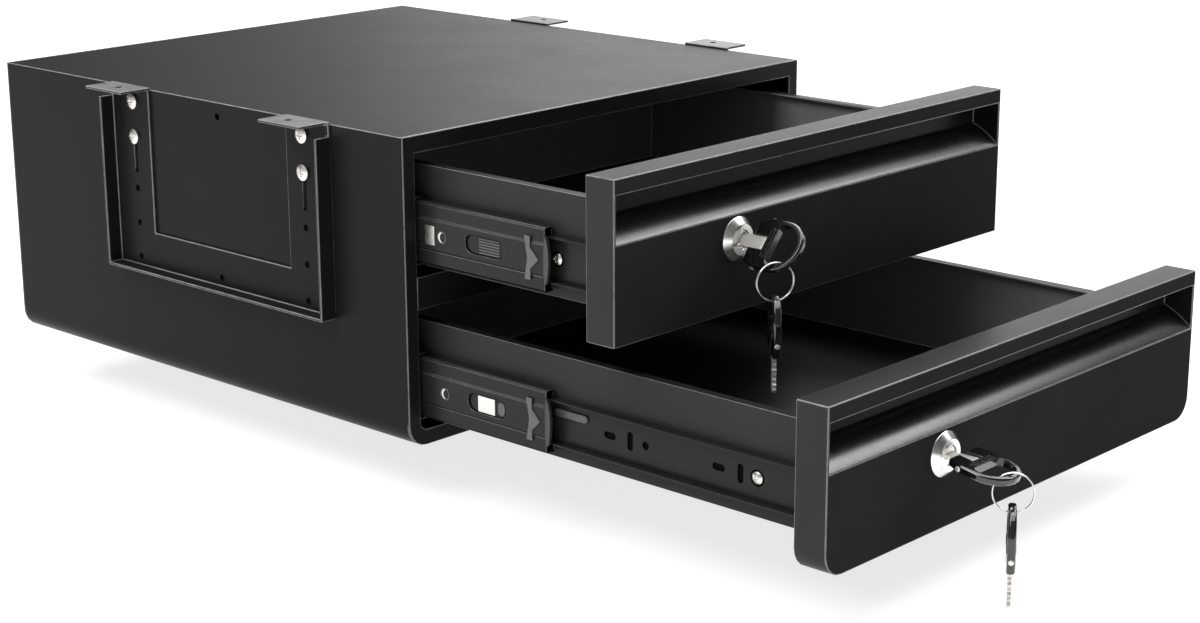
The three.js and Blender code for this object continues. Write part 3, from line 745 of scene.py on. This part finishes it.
def plate(name, outlines, low, high, soften=0.0, place=lambda a, b, c: (c, a, b)):
    """A flat plate between two heights, with holes where outlines lie inside others."""
    curve = bpy.data.curves.new(name, "CURVE")
    curve.dimensions = "2D"
    curve.fill_mode = "BOTH"
    curve.extrude = (high - low) / 2 - soften
    curve.bevel_depth = soften
    curve.offset = -soften
    for outline in outlines:
        spline = curve.splines.new("POLY")
        spline.points.add(len(outline) - 1)
        for point, (a, b) in zip(spline.points, outline):
            point.co = (a, b, 0, 1)
        spline.use_cyclic_u = True
    source = linked(f"{name}_outline", curve)
    bpy.context.view_layer.update()
    mesh = bpy.data.meshes.new_from_object(source.evaluated_get(bpy.context.evaluated_depsgraph_get()))
    bpy.data.objects.remove(source)
    bpy.data.curves.remove(curve)
    middle = (low + high) / 2
    for vertex in mesh.vertices:
        a, b, c = vertex.co
        vertex.co = place(a, b, c + middle)
    mesh.name = name
    return cleaned(linked(name, mesh))


def cleaned(piece):
    shape = bmesh.new()
    shape.from_mesh(piece.data)
    bmesh.ops.remove_doubles(shape, verts=shape.verts, dist=merge_distance)
    bmesh.ops.recalc_face_normals(shape, faces=shape.faces)
    shape.to_mesh(piece.data)
    shape.free()
    return piece


def joined(name, pieces):
    """One piece out of several, with each one's material kept."""
    shape = bmesh.new()
    materials = []
    for piece in pieces:
        slots = list(piece.data.materials)
        for material in slots:
            if material not in materials:
                materials.append(material)
        start = len(shape.faces)
        shape.from_mesh(piece.data)
        shape.faces.ensure_lookup_table()
        for face in shape.faces[start:]:
            face.material_index = materials.index(slots[face.material_index]) if slots else 0
    mesh = bpy.data.meshes.new(name)
    shape.to_mesh(mesh)
    shape.free()
    for material in materials:
        mesh.materials.append(material)
    for piece in pieces:
        old = piece.data
        bpy.data.objects.remove(piece)
        bpy.data.meshes.remove(old)
    return linked(name, mesh)


def skinned(name, shape, rows, spokes):
    """Faces between rows of points round an axis. A row of one point closes the shape."""
    for near, far in zip(rows, rows[1:]):
        for i in range(spokes):
            j = (i + 1) % spokes
            corners = [near[i % len(near)], near[j % len(near)], far[j % len(far)], far[i % len(far)]]
            shape.faces.new([corner for k, corner in enumerate(corners) if corner not in corners[:k]])
    mesh = bpy.data.meshes.new(name)
    shape.to_mesh(mesh)
    shape.free()
    return cleaned(linked(name, mesh))


def turned(name, profile, spokes=32):
    """A closed turned shape about the x axis, from [x, radius] pairs that start and end on it."""
    shape = bmesh.new()
    rows = []
    for x, radius in profile:
        points = ring_of(spokes, radius) if radius else [(0, 0)]
        rows.append([shape.verts.new((x, y, z)) for y, z in points])
    return skinned(name, shape, rows, spokes)


def moved(piece, matrix):
    piece.data.transform(matrix)
    return piece


def finish_of(piece, kind):
    piece.data.materials.clear()
    piece.data.materials.append(kind.material)
    return piece


def domed_head(name, radius, edge, dome, recess):
    """A pan head about the x axis: its rim at x = 0, its top towards -x, with a cross recess."""
    width, length, depth = recess
    shape = bmesh.new()
    rows = []
    for ring in range(dome_rings + 1):
        share = ring / dome_rings
        row = []
        for y, z in ring_of(dome_spokes, radius * share) if ring else [(0, 0)]:
            height = edge + dome * (1 - share ** 2)
            across, along = sorted((abs(y), abs(z)))
            if along < length / 2 and across < width / 2:
                height -= depth * (1 - along / length)
            row.append(shape.verts.new((-height, y, z)))
        rows.append(row)
    rows.append([shape.verts.new((0, y, z)) for y, z in ring_of(dome_spokes, radius)])
    rows.append([shape.verts.new((0, 0, 0))])
    return skinned(name, shape, rows, dome_spokes)


# Repeats

def repeat_tree(name):
    """Puts a source object on every point of a mesh and gives the result one material."""
    tree = bpy.data.node_groups.new(name, "GeometryNodeTree")
    face = tree.interface
    face.new_socket("Points", in_out="INPUT", socket_type="NodeSocketGeometry")
    face.new_socket("Source", in_out="INPUT", socket_type="NodeSocketObject")
    face.new_socket("Finish", in_out="INPUT", socket_type="NodeSocketMaterial")
    face.new_socket("Repeats", in_out="OUTPUT", socket_type="NodeSocketGeometry")
    start = tree.nodes.new("NodeGroupInput")
    end = tree.nodes.new("NodeGroupOutput")
    source = tree.nodes.new("GeometryNodeObjectInfo")
    spread = tree.nodes.new("GeometryNodeInstanceOnPoints")
    real = tree.nodes.new("GeometryNodeRealizeInstances")
    finish = tree.nodes.new("GeometryNodeSetMaterial")
    source.inputs["As Instance"].default_value = True
    tree.links.new(start.outputs["Points"], spread.inputs["Points"])
    tree.links.new(start.outputs["Source"], source.inputs["Object"])
    tree.links.new(source.outputs["Geometry"], spread.inputs["Instance"])
    tree.links.new(spread.outputs["Instances"], real.inputs["Geometry"])
    tree.links.new(real.outputs["Geometry"], finish.inputs["Geometry"])
    tree.links.new(start.outputs["Finish"], finish.inputs["Material"])
    tree.links.new(finish.outputs["Geometry"], end.inputs["Repeats"])
    return tree


def repeated(name, source, places, kind):
    """A plain mesh of one source shape at each place. The source is used up."""
    mesh = bpy.data.meshes.new(name)
    mesh.from_pydata(places, [], [])
    piece = linked(name, mesh)
    nodes = piece.modifiers.new("repeat", "NODES")
    nodes.node_group = repeater
    sockets = {item.name: item.identifier for item in repeater.interface.items_tree if item.in_out == "INPUT"}
    nodes[sockets["Source"]] = source
    nodes[sockets["Finish"]] = kind.material
    evaluated_mesh(piece)
    old = source.data
    bpy.data.objects.remove(source)
    bpy.data.meshes.remove(old)
    return finish_of(piece, kind)


repeater = repeat_tree("repeat_on_points")


# Bracket bolts

def bolt_source(name, node):
    """A pan-head bolt with a cross recess, about its own head seat, for the left side."""
    low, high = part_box(node)
    radius = (high.z - low.z) / 2
    length = high.x - low.x
    edge = bolt_head_height - bolt_dome_height
    recess = (bolt_recess_width, bolt_recess_length, bolt_recess_depth)
    head = domed_head(f"{name}_head", radius, edge, bolt_dome_height, recess)
    shank_end = length - bolt_head_height
    profile = [(0, 0), (0, bolt_shank_radius), (shank_end, bolt_shank_radius), (shank_end, 0)]
    shank = turned(f"{name}_shank", profile)
    hexagon = ring_of(6, bolt_nut_width / math.sqrt(3))
    nut = plate(f"{name}_nut", [hexagon], shank_end - bolt_nut_height, shank_end, bolt_nut_softening)
    return joined(name, [head, shank, nut])


def add_bracket_bolts():
    for side, sign in (("left", 1), ("right", -1)):
        nodes = [f"{side}_{end}_{row}_bolt" for end in ("front", "rear") for row in ("upper", "lower")]
        source = bolt_source(f"{side}_bolt", nodes[0].replace("right", "left"))
        moved(source, Matrix.Scale(sign, 4, (1, 0, 0)))
        cleaned(source)
        places = []
        for node in nodes:
            low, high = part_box(node)
            seat = low.x + bolt_head_height if sign > 0 else high.x - bolt_head_height
            places.append((seat, (low.y + high.y) / 2, (low.z + high.z) / 2))
        bolts = shaded(repeated(f"{side}_bracket_bolts", source, places, nickel), detail_angle)
        finished(bolts, "cabinet", "nickel_plate")
        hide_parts(*nodes)


# Slide details

def slide_frame(drawer, side):
    """The web faces and front ends of one slide's middle and drawer sections."""
    sign = -1 if side == "left" else 1
    middle_low, middle_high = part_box(f"{drawer}_{side}_middle_rail")
    member_low, member_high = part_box(f"{drawer}_{side}_drawer_rail")
    return {
        "sign": sign,
        "z": (middle_low.z + middle_high.z) / 2,
        "web": max(abs(middle_low.x), abs(middle_high.x)),
        "front": middle_low.y,
        "member_back": min(abs(member_low.x), abs(member_high.x)),
        "member_edge": max(abs(member_low.x), abs(member_high.x)),
        "member_front": member_low.y,
        "member_rear": member_high.y,
        "member_half": (member_high.z - member_low.z) / 2,
    }


def on_side(sign):
    """Plates of a slide stand across x, on the left or the right."""
    return lambda a, b, c: (sign * c, a, b)


def add_drawer_rail(drawer, side):
    """The drawer's section: a web with its screw holes and slots, between two turned-in lips."""
    slide = slide_frame(drawer, side)
    place = on_side(slide["sign"])
    z, front, rear, half = slide["z"], slide["member_front"], slide["member_rear"], slide["member_half"]
    back, edge = slide["member_back"], slide["member_edge"]
    holes = []
    screws = []
    y = front + first_hole_from_front
    while y < rear - first_hole_from_front / 2:
        screwed = y == front + first_hole_from_front
        holes.append(ring_of(hole_sides, screw_hole_radius if screwed else member_hole_radius, (y, z)))
        holes.append(rounded_slot((y + upright_slot_from_hole, z), slot_width, upright_slot_length))
        holes.append(rounded_slot((y + level_slot_from_hole, z), level_slot_length, slot_width))
        if screwed:
            screws.append((slide["sign"] * (back + slide_sheet / 2), y, z))
        y += member_hole_pitch
    web_outline = rectangle((front, z - half), (rear, z + half))
    web_face = back + slide_sheet
    name = f"{drawer}_{side}_rail"
    web = plate(f"{name}_web", [web_outline, *holes], back + recess_gap, web_face, web_softening, place)
    parts = [web]
    inner_half = half - slide_sheet
    # A near-black plate behind the web paints the shade seen through its holes and slots
    shadow_outline = rectangle((front + slide_sheet, z - inner_half), (rear - slide_sheet, z + inner_half))
    shadow = plate(f"{name}_shadow", [shadow_outline], back, back + recess_gap / 2, place=place)
    for up in (-1, 1):
        lip = rectangle((front, z + up * inner_half), (rear, z + up * half))
        parts.append(plate(f"{name}_lip", [lip], back + slide_sheet / 2, edge, lip_softening, place))
    parts = [finish_of(part, slide_black) for part in parts]
    rail = joined(f"{drawer}_{side}_drawer_rail_dressed", [*parts, finish_of(shadow, painted_shade_black)])
    shaded(rail, detail_angle)
    finished(rail, f"{drawer}_drawer", "slide_steel")
    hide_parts(f"{drawer}_{side}_drawer_rail")
    return screws


def add_rail_screws(drawer, side, places):
    sign = 1 if side == "left" else -1
    recess = (screw_recess_width, screw_recess_length, screw_recess_depth)
    head = domed_head(f"{drawer}_{side}_screw", screw_radius, screw_height / 3, screw_height * 2 / 3, recess)
    moved(head, Matrix.Scale(sign, 4, (1, 0, 0)))
    screws = repeated(f"{drawer}_{side}_rail_screws", cleaned(head), places, nickel)
    shaded(screws, detail_angle)
    finished(screws, f"{drawer}_drawer", "slide_steel")


def add_lance(drawer, side):
    """The long tongue pressed out of the drawer section's web."""
    slide = slide_frame(drawer, side)
    start = slide["member_front"] + lance_from_front
    if start + lance_length > slide["member_rear"]:
        return
    web = slide["member_back"] + slide_sheet
    outline = rounded_slot((start, slide["z"] + lance_above_centre), lance_length, lance_height)
    place = on_side(slide["sign"])
    name = f"{drawer}_{side}_pressed_tongue"
    lance = plate(name, [outline], web - proud, web + lance_proud, lance_softening, place)
    # The tongue's paler finish is a painted highlight
    shaded(finish_of(lance, slide_steel_painted_highlight), round_angle)
    finished(lance, f"{drawer}_drawer", "slide_steel")


def add_window_insert(drawer, side):
    """What shows behind the middle section's window: a ridged cage above, a bright stop block below."""
    slide = slide_frame(drawer, side)
    sign = slide["sign"]
    place = on_side(sign)
    y = slide["front"] + window_from_front
    z = slide["z"]
    top = slide["web"] - slide_sheet - proud
    name = f"{drawer}_{side}_window"
    opening = rounded_slot((y, z), window_length, window_height)
    cage = plate(f"{name}_cage", [opening], top - insert_thickness, top, insert_softening, place)
    finish_of(cage, slide_black)
    parts = [cage]
    if drawer == "upper":
        reach = ridge_half_length
        profile = [(-reach, 0), (-reach, ridge_radius), (reach, ridge_radius), (reach, 0)]
        ridge = turned(f"{name}_ridge", profile, ridge_sides)
        moved(ridge, Matrix.Rotation(math.pi / 2, 4, "Z"))
        step = (window_height - ridge_margin) / (ridge_count - 1)
        heights = [z + step * (i - (ridge_count - 1) / 2) for i in range(ridge_count)]
        places = [(sign * top, y - ridge_margin, height) for height in heights]
        parts.append(repeated(f"{name}_ridges", ridge, places, cast))
    else:
        front_foot = (y - block_to_front, z - block_half_height)
        rear_top = (y + block_to_rear, z + block_half_height)
        outline = rectangle(front_foot, rear_top)
        block = plate(f"{name}_block", [outline], top - proud, top + block_proud, insert_softening, place)
        outline = rounded_slot((y - stub_from_centre, z), stub_length, stub_height)
        stub = plate(f"{name}_stub", [outline], top - proud, top + stub_proud, insert_softening, place)
        parts += [finish_of(block, nickel), finish_of(stub, cast)]
    insert = shaded(joined(f"{drawer}_{side}_window_insert", parts), detail_angle)
    finished(insert, f"{drawer}_middle_rails", "bumper_plastic")


def add_rail_marks(drawer, side):
    """The small bright tongue and the rimmed eyelet nearer the cabinet on the middle section. The eyelet's
    rim has a painted highlight, and inside it a bright disc half hidden by a dark one paints a crescent of
    highlight beside painted shade.
    """
    slide = slide_frame(drawer, side)
    place = on_side(slide["sign"])
    web = slide["web"]
    z = slide["z"]
    y = slide["front"] + tongue_from_front
    wide = tongue_length if drawer == "upper" else dark_slot_length
    centre = (slide["front"] + eyelet_from_front, z)
    inner = eyelet_radius - eyelet_rim
    hole = ring_of(hole_sides, inner, centre)
    tongue = rectangle((y - wide / 2, z - tongue_height / 2), (y + wide / 2, z + tongue_height / 2))
    rim = [ring_of(hole_sides, eyelet_radius, centre), hole]
    shade = ring_of(hole_sides, inner, (centre[0] - eyelet_shade_shift, z))
    marks = (
        ("tongue", [tongue], proud, mark_softening, nickel if drawer == "upper" else slide_black),
        # The eyelet's rim is paler with a painted highlight; a bright disc half hidden by a dark one paints a
        # crescent of highlight and the shade inside the eyelet
        ("eyelet", rim, proud, mark_softening, slide_steel_painted_highlight),
        ("shine", [hole], proud / 4, eyelet_softening, nickel),
        ("shade", [shade], proud / 2, eyelet_softening, slide_black),
    )
    parts = []
    for name, outlines, height, softening, kind in marks:
        part = plate(f"{drawer}_{side}_{name}", outlines, web - proud, web + height, softening, place)
        parts.append(finish_of(part, kind))
    piece = shaded(joined(f"{drawer}_{side}_rail_marks", parts), detail_angle)
    finished(piece, f"{drawer}_middle_rails", "slide_steel")


def add_slides():
    for drawer in ("lower", "upper"):
        for side in ("left", "right"):
            screws = add_drawer_rail(drawer, side)
            add_rail_screws(drawer, side, screws)
            add_lance(drawer, side)
            add_window_insert(drawer, side)
            add_rail_marks(drawer, side)


# Keys

def place_at(fold, along):
    across = -Vector(fold["axis"])
    through = along.cross(across)
    turn = Matrix((through, along, across)).transposed().to_4x4()
    return Matrix.Translation(Vector(fold["pos_m"]) - along * key_pin_place) @ turn


def key_place(drawer):
    """Turns the key's own frame to where the key stands in its lock, tip to the rear."""
    return place_at(joints[f"{drawer}_key_fold"], Vector((0, 1, 0)))


def spare_place(drawer):
    """Turns the key's own frame to where the spare key hangs, tip down."""
    return place_at(joints[f"{drawer}_spare_fold"], Vector((0, 0, -1)))


def toothed_blade(name):
    """A key blade with its cuts along both edges, and the pin that the head folds on."""
    half = blade_width / 2
    y = -key_head_start + tooth_pitch
    edge = [(key_pin_place, half)]
    for depth in tooth_depths:
        edge.append((y + tooth_pitch * tooth_top_share, half))
        edge += [(y + tooth_pitch * share, half - depth) for share in tooth_cut_shares]
        y += tooth_pitch * tooth_step_share
    edge += [(blade_tip - half / 2, half), (blade_tip, half / 2)]
    outline = edge + [(a, -b) for a, b in reversed(edge)]
    blade = plate(f"{name}_blade", [outline], -blade_thickness / 2, blade_thickness / 2, blade_softening)
    top = key_pin_reach + rivet_height
    rivet = [(top, 0), (top, rivet_radius * rivet_top_share), (key_pin_reach, rivet_radius)]
    half_pin = [*rivet, (key_pin_reach, key_pin_radius)]
    profile = [(-x, radius) for x, radius in half_pin] + half_pin[::-1]
    pin = turned(f"{name}_pin", profile, pin_sides)
    moved(pin, Matrix.Translation((0, key_pin_place, 0)) @ Matrix.Rotation(math.pi / 2, 4, "Y"))
    return joined(f"{name}_dressed", [blade, pin])


def add_key_blades():
    for drawer in ("lower", "upper"):
        blades = (
            (f"{drawer}_key_blade", f"{drawer}_key", key_place(drawer)),
            (f"{drawer}_spare_key_blade", f"{drawer}_spare_blade", spare_place(drawer)),
        )
        for node, body, place in blades:
            blade = shaded(moved(finish_of(toothed_blade(node), blade_nickel), place), blade_angle)
            finished(blade, body, "nickel_plate")
            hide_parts(node)


def add_key_head_ribs():
    """The raised ribs across both faces of each key head, before its opening."""
    for drawer, droop in head_droop.items():
        pin = Matrix.Translation((0, key_pin_place, 0))
        turn = pin @ Matrix.Rotation(math.radians(droop), 4, "Z") @ pin.inverted()
        heads = (
            (f"{drawer}_key_head", f"{drawer}_head", key_place(drawer) @ turn),
            (f"{drawer}_spare_key_head", f"{drawer}_spare_head", spare_place(drawer)),
        )
        for node, body, place in heads:
            parts = []
            half = head_thickness / 2
            for side in (-1, 1):
                low, high = sorted((side * (half - proud), side * (half + rib_height)))
                for y, length, width in head_ribs:
                    outlines = [rounded_slot((y, 0), width, length)]
                    if width > 2 * rib_wall:
                        outlines.append(rounded_slot((y, 0), width - 2 * rib_wall, length - 2 * rib_wall))
                    parts.append(plate(f"{node}_rib", outlines, low, high, rib_softening))
            ribs = joined(f"{node}_ribs", [finish_of(part, key_black) for part in parts])
            finished(shaded(moved(ribs, place), detail_angle), body, "key_plastic")


def wire_tree(name):
    """Sweeps a round wire along the edges of a mesh path."""
    tree = bpy.data.node_groups.new(name, "GeometryNodeTree")
    face = tree.interface
    face.new_socket("Path", in_out="INPUT", socket_type="NodeSocketGeometry")
    face.new_socket("Wire radius", in_out="INPUT", socket_type="NodeSocketFloat")
    face.new_socket("Finish", in_out="INPUT", socket_type="NodeSocketMaterial")
    face.new_socket("Wire", in_out="OUTPUT", socket_type="NodeSocketGeometry")
    start = tree.nodes.new("NodeGroupInput")
    end = tree.nodes.new("NodeGroupOutput")
    curve = tree.nodes.new("GeometryNodeMeshToCurve")
    section = tree.nodes.new("GeometryNodeCurvePrimitiveCircle")
    swept = tree.nodes.new("GeometryNodeCurveToMesh")
    real = tree.nodes.new("GeometryNodeRealizeInstances")
    finish = tree.nodes.new("GeometryNodeSetMaterial")
    section.inputs["Resolution"].default_value = wire_sides
    swept.inputs["Fill Caps"].default_value = True
    tree.links.new(start.outputs["Path"], curve.inputs["Mesh"])
    tree.links.new(start.outputs["Wire radius"], section.inputs["Radius"])
    tree.links.new(curve.outputs["Curve"], swept.inputs["Curve"])
    tree.links.new(section.outputs["Curve"], swept.inputs["Profile Curve"])
    tree.links.new(swept.outputs["Mesh"], real.inputs["Geometry"])
    tree.links.new(real.outputs["Geometry"], finish.inputs["Geometry"])
    tree.links.new(start.outputs["Finish"], finish.inputs["Material"])
    tree.links.new(finish.outputs["Geometry"], end.inputs["Wire"])
    return tree


def add_key_rings():
    """Split rings: two turns of thin wire side by side, with one short crossing between them."""
    tree = wire_tree("wire_along_path")
    sockets = {item.name: item.identifier for item in tree.interface.items_tree if item.in_out == "INPUT"}
    wire = ring_wire / 2
    for drawer in ("lower", "upper"):
        node = f"{drawer}_key_ring"
        low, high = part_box(node)
        centre = (low + high) / 2
        level = Vector(joints[f"{drawer}_spare_swing"]["axis"]).normalized()
        upright = Vector((0, 0, 1))
        normal = level.cross(upright)
        steps = ring_turns * ring_steps_a_turn
        path = []
        for i in range(steps + 1):
            share = i / steps
            angle = 2 * math.pi * ring_turns * share + ring_cut_angle
            crossing = min(1, max(0, (share - 0.5) * crossing_steepness + 0.5))
            across = wire * (2 * crossing - 1)
            around = level * math.cos(angle) + upright * math.sin(angle)
            path.append(centre + ring_radius * around + normal * across)
        mesh = bpy.data.meshes.new(f"{node}_split")
        mesh.from_pydata(path, [(i, i + 1) for i in range(steps)], [])
        ring = linked(f"{node}_split", mesh)
        nodes = ring.modifiers.new("wire", "NODES")
        nodes.node_group = tree
        nodes[sockets["Wire radius"]] = wire
        nodes[sockets["Finish"]] = nickel.material
        evaluated_mesh(ring)
        finished(shaded(cleaned(finish_of(ring, nickel)), round_angle), f"{drawer}_ring", "nickel_plate")
        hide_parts(node)


# Camera, light and floor

def add_camera():
    yaw, pitch, roll = (math.radians(a) for a in (camera_yaw, camera_pitch, camera_roll))
    forward = Vector((math.cos(pitch) * math.sin(yaw), math.cos(pitch) * math.cos(yaw), math.sin(pitch)))
    right = Vector((math.cos(yaw), -math.sin(yaw), 0))
    up = right.cross(forward)
    rolled_right = right * math.cos(roll) + up * math.sin(roll)
    rolled_up = up * math.cos(roll) - right * math.sin(roll)
    camera = bpy.data.objects.new("camera", bpy.data.cameras.new("camera"))
    axes = Matrix((rolled_right, rolled_up, -forward)).transposed()
    camera.matrix_world = Matrix.Translation(camera_place) @ axes.to_4x4()
    camera.data.sensor_width = sensor_width
    camera.data.lens = sensor_width * camera_focal / image_width
    camera.data.clip_start, camera.data.clip_end = camera_clip
    bpy.context.scene.collection.objects.link(camera)
    bpy.context.scene.camera = camera


def add_world():
    """A studio that is bright behind the cabinet's right and falls off to its left."""
    world = bpy.data.worlds.new("studio")
    world.use_nodes = True
    bpy.context.scene.world = world
    studio = Shader(world.node_tree)
    studio.tree.nodes.clear()
    direction = studio.node("ShaderNodeTexCoord", output="Generated")
    across = studio.node("ShaderNodeSeparateXYZ", inputs={0: direction}, output="X")
    along = studio.node("ShaderNodeSeparateXYZ", inputs={0: direction}, output="Y")
    angle = across.maths("ARCTAN2", across, along)
    span = {"Value": angle, "From Min": -math.pi, "From Max": math.pi}
    turn = studio.node("ShaderNodeMapRange", inputs=span, output="Result")
    level = studio.node("ShaderNodeValToRGB", {"stops": studio_ring}, {"Fac": turn}, output="Color")
    light = studio.node("ShaderNodeBackground", inputs={"Color": level, "Strength": studio_strength})
    studio.node("ShaderNodeOutputWorld", inputs={"Surface": light})


def add_panel(name, place, aim, size, power):
    light = bpy.data.objects.new(name, bpy.data.lights.new(name, "AREA"))
    light.data.shape = "RECTANGLE"
    light.data.size, light.data.size_y = size
    light.data.energy = power
    light.location = place
    light.rotation_mode = "QUATERNION"
    light.rotation_quaternion = (Vector(aim) - Vector(place)).to_track_quat("-Z", "Y")
    bpy.context.scene.collection.objects.link(light)


def add_lights():
    sky = bpy.data.objects.new("soft_overhead", bpy.data.lights.new("soft_overhead", "SUN"))
    sky.data.energy = overhead_power
    sky.data.angle = math.radians(overhead_spread)
    sky.rotation_euler = (math.radians(overhead_tilt[0]), math.radians(overhead_tilt[1]), 0)
    bpy.context.scene.collection.objects.link(sky)
    for name, panel in studio_panels.items():
        add_panel(name, **panel)


def add_floor():
    z = frame_box[0].z - floor_gap
    half = floor_half_width
    mesh = bpy.data.meshes.new("floor")
    corners = [(-half, -half, z), (half, -half, z), (half, half, z), (-half, half, z)]
    mesh.from_pydata(corners, [], [(0, 1, 2, 3)])
    floor = linked("floor", mesh)
    finish = Finish("pale_floor", Roughness=0.9, Specular_IOR_Level=0.0, Emission_Strength=floor_glow)
    tone = finish.noise(floor_patch_size, 2)
    paint = finish.greys(tone, floor_tones[0], floor_tones[1])
    glow = finish.greys(tone, floor_glow_tones[0], floor_glow_tones[1])
    finish.feed(Base_Color=paint, Emission_Color=glow)
    mesh.materials.append(finish.material)


bpy.context.scene.view_settings.view_transform = "Standard"
add_camera()
add_world()
add_lights()
add_floor()
add_cabinet()
add_drawers()
plain_endings = ("outer_rail", "middle_rail", "latch", "bumper", "housing", "nut", "plug", "cam", "head")
for node in sorted(frame["nodes"]):
    if node.endswith(plain_endings):
        piece = dressed(node, edge_widths.get(node, edge_width))
        if node.endswith("middle_rail"):
            # The middle rails' downward-looking edges get painted shade
            repaint(piece, painted_shade_black, lambda face: face.normal.z < shadow_share, was=1)
add_bracket_bolts()
add_slides()
add_key_blades()
add_key_head_ribs()
add_key_rings()
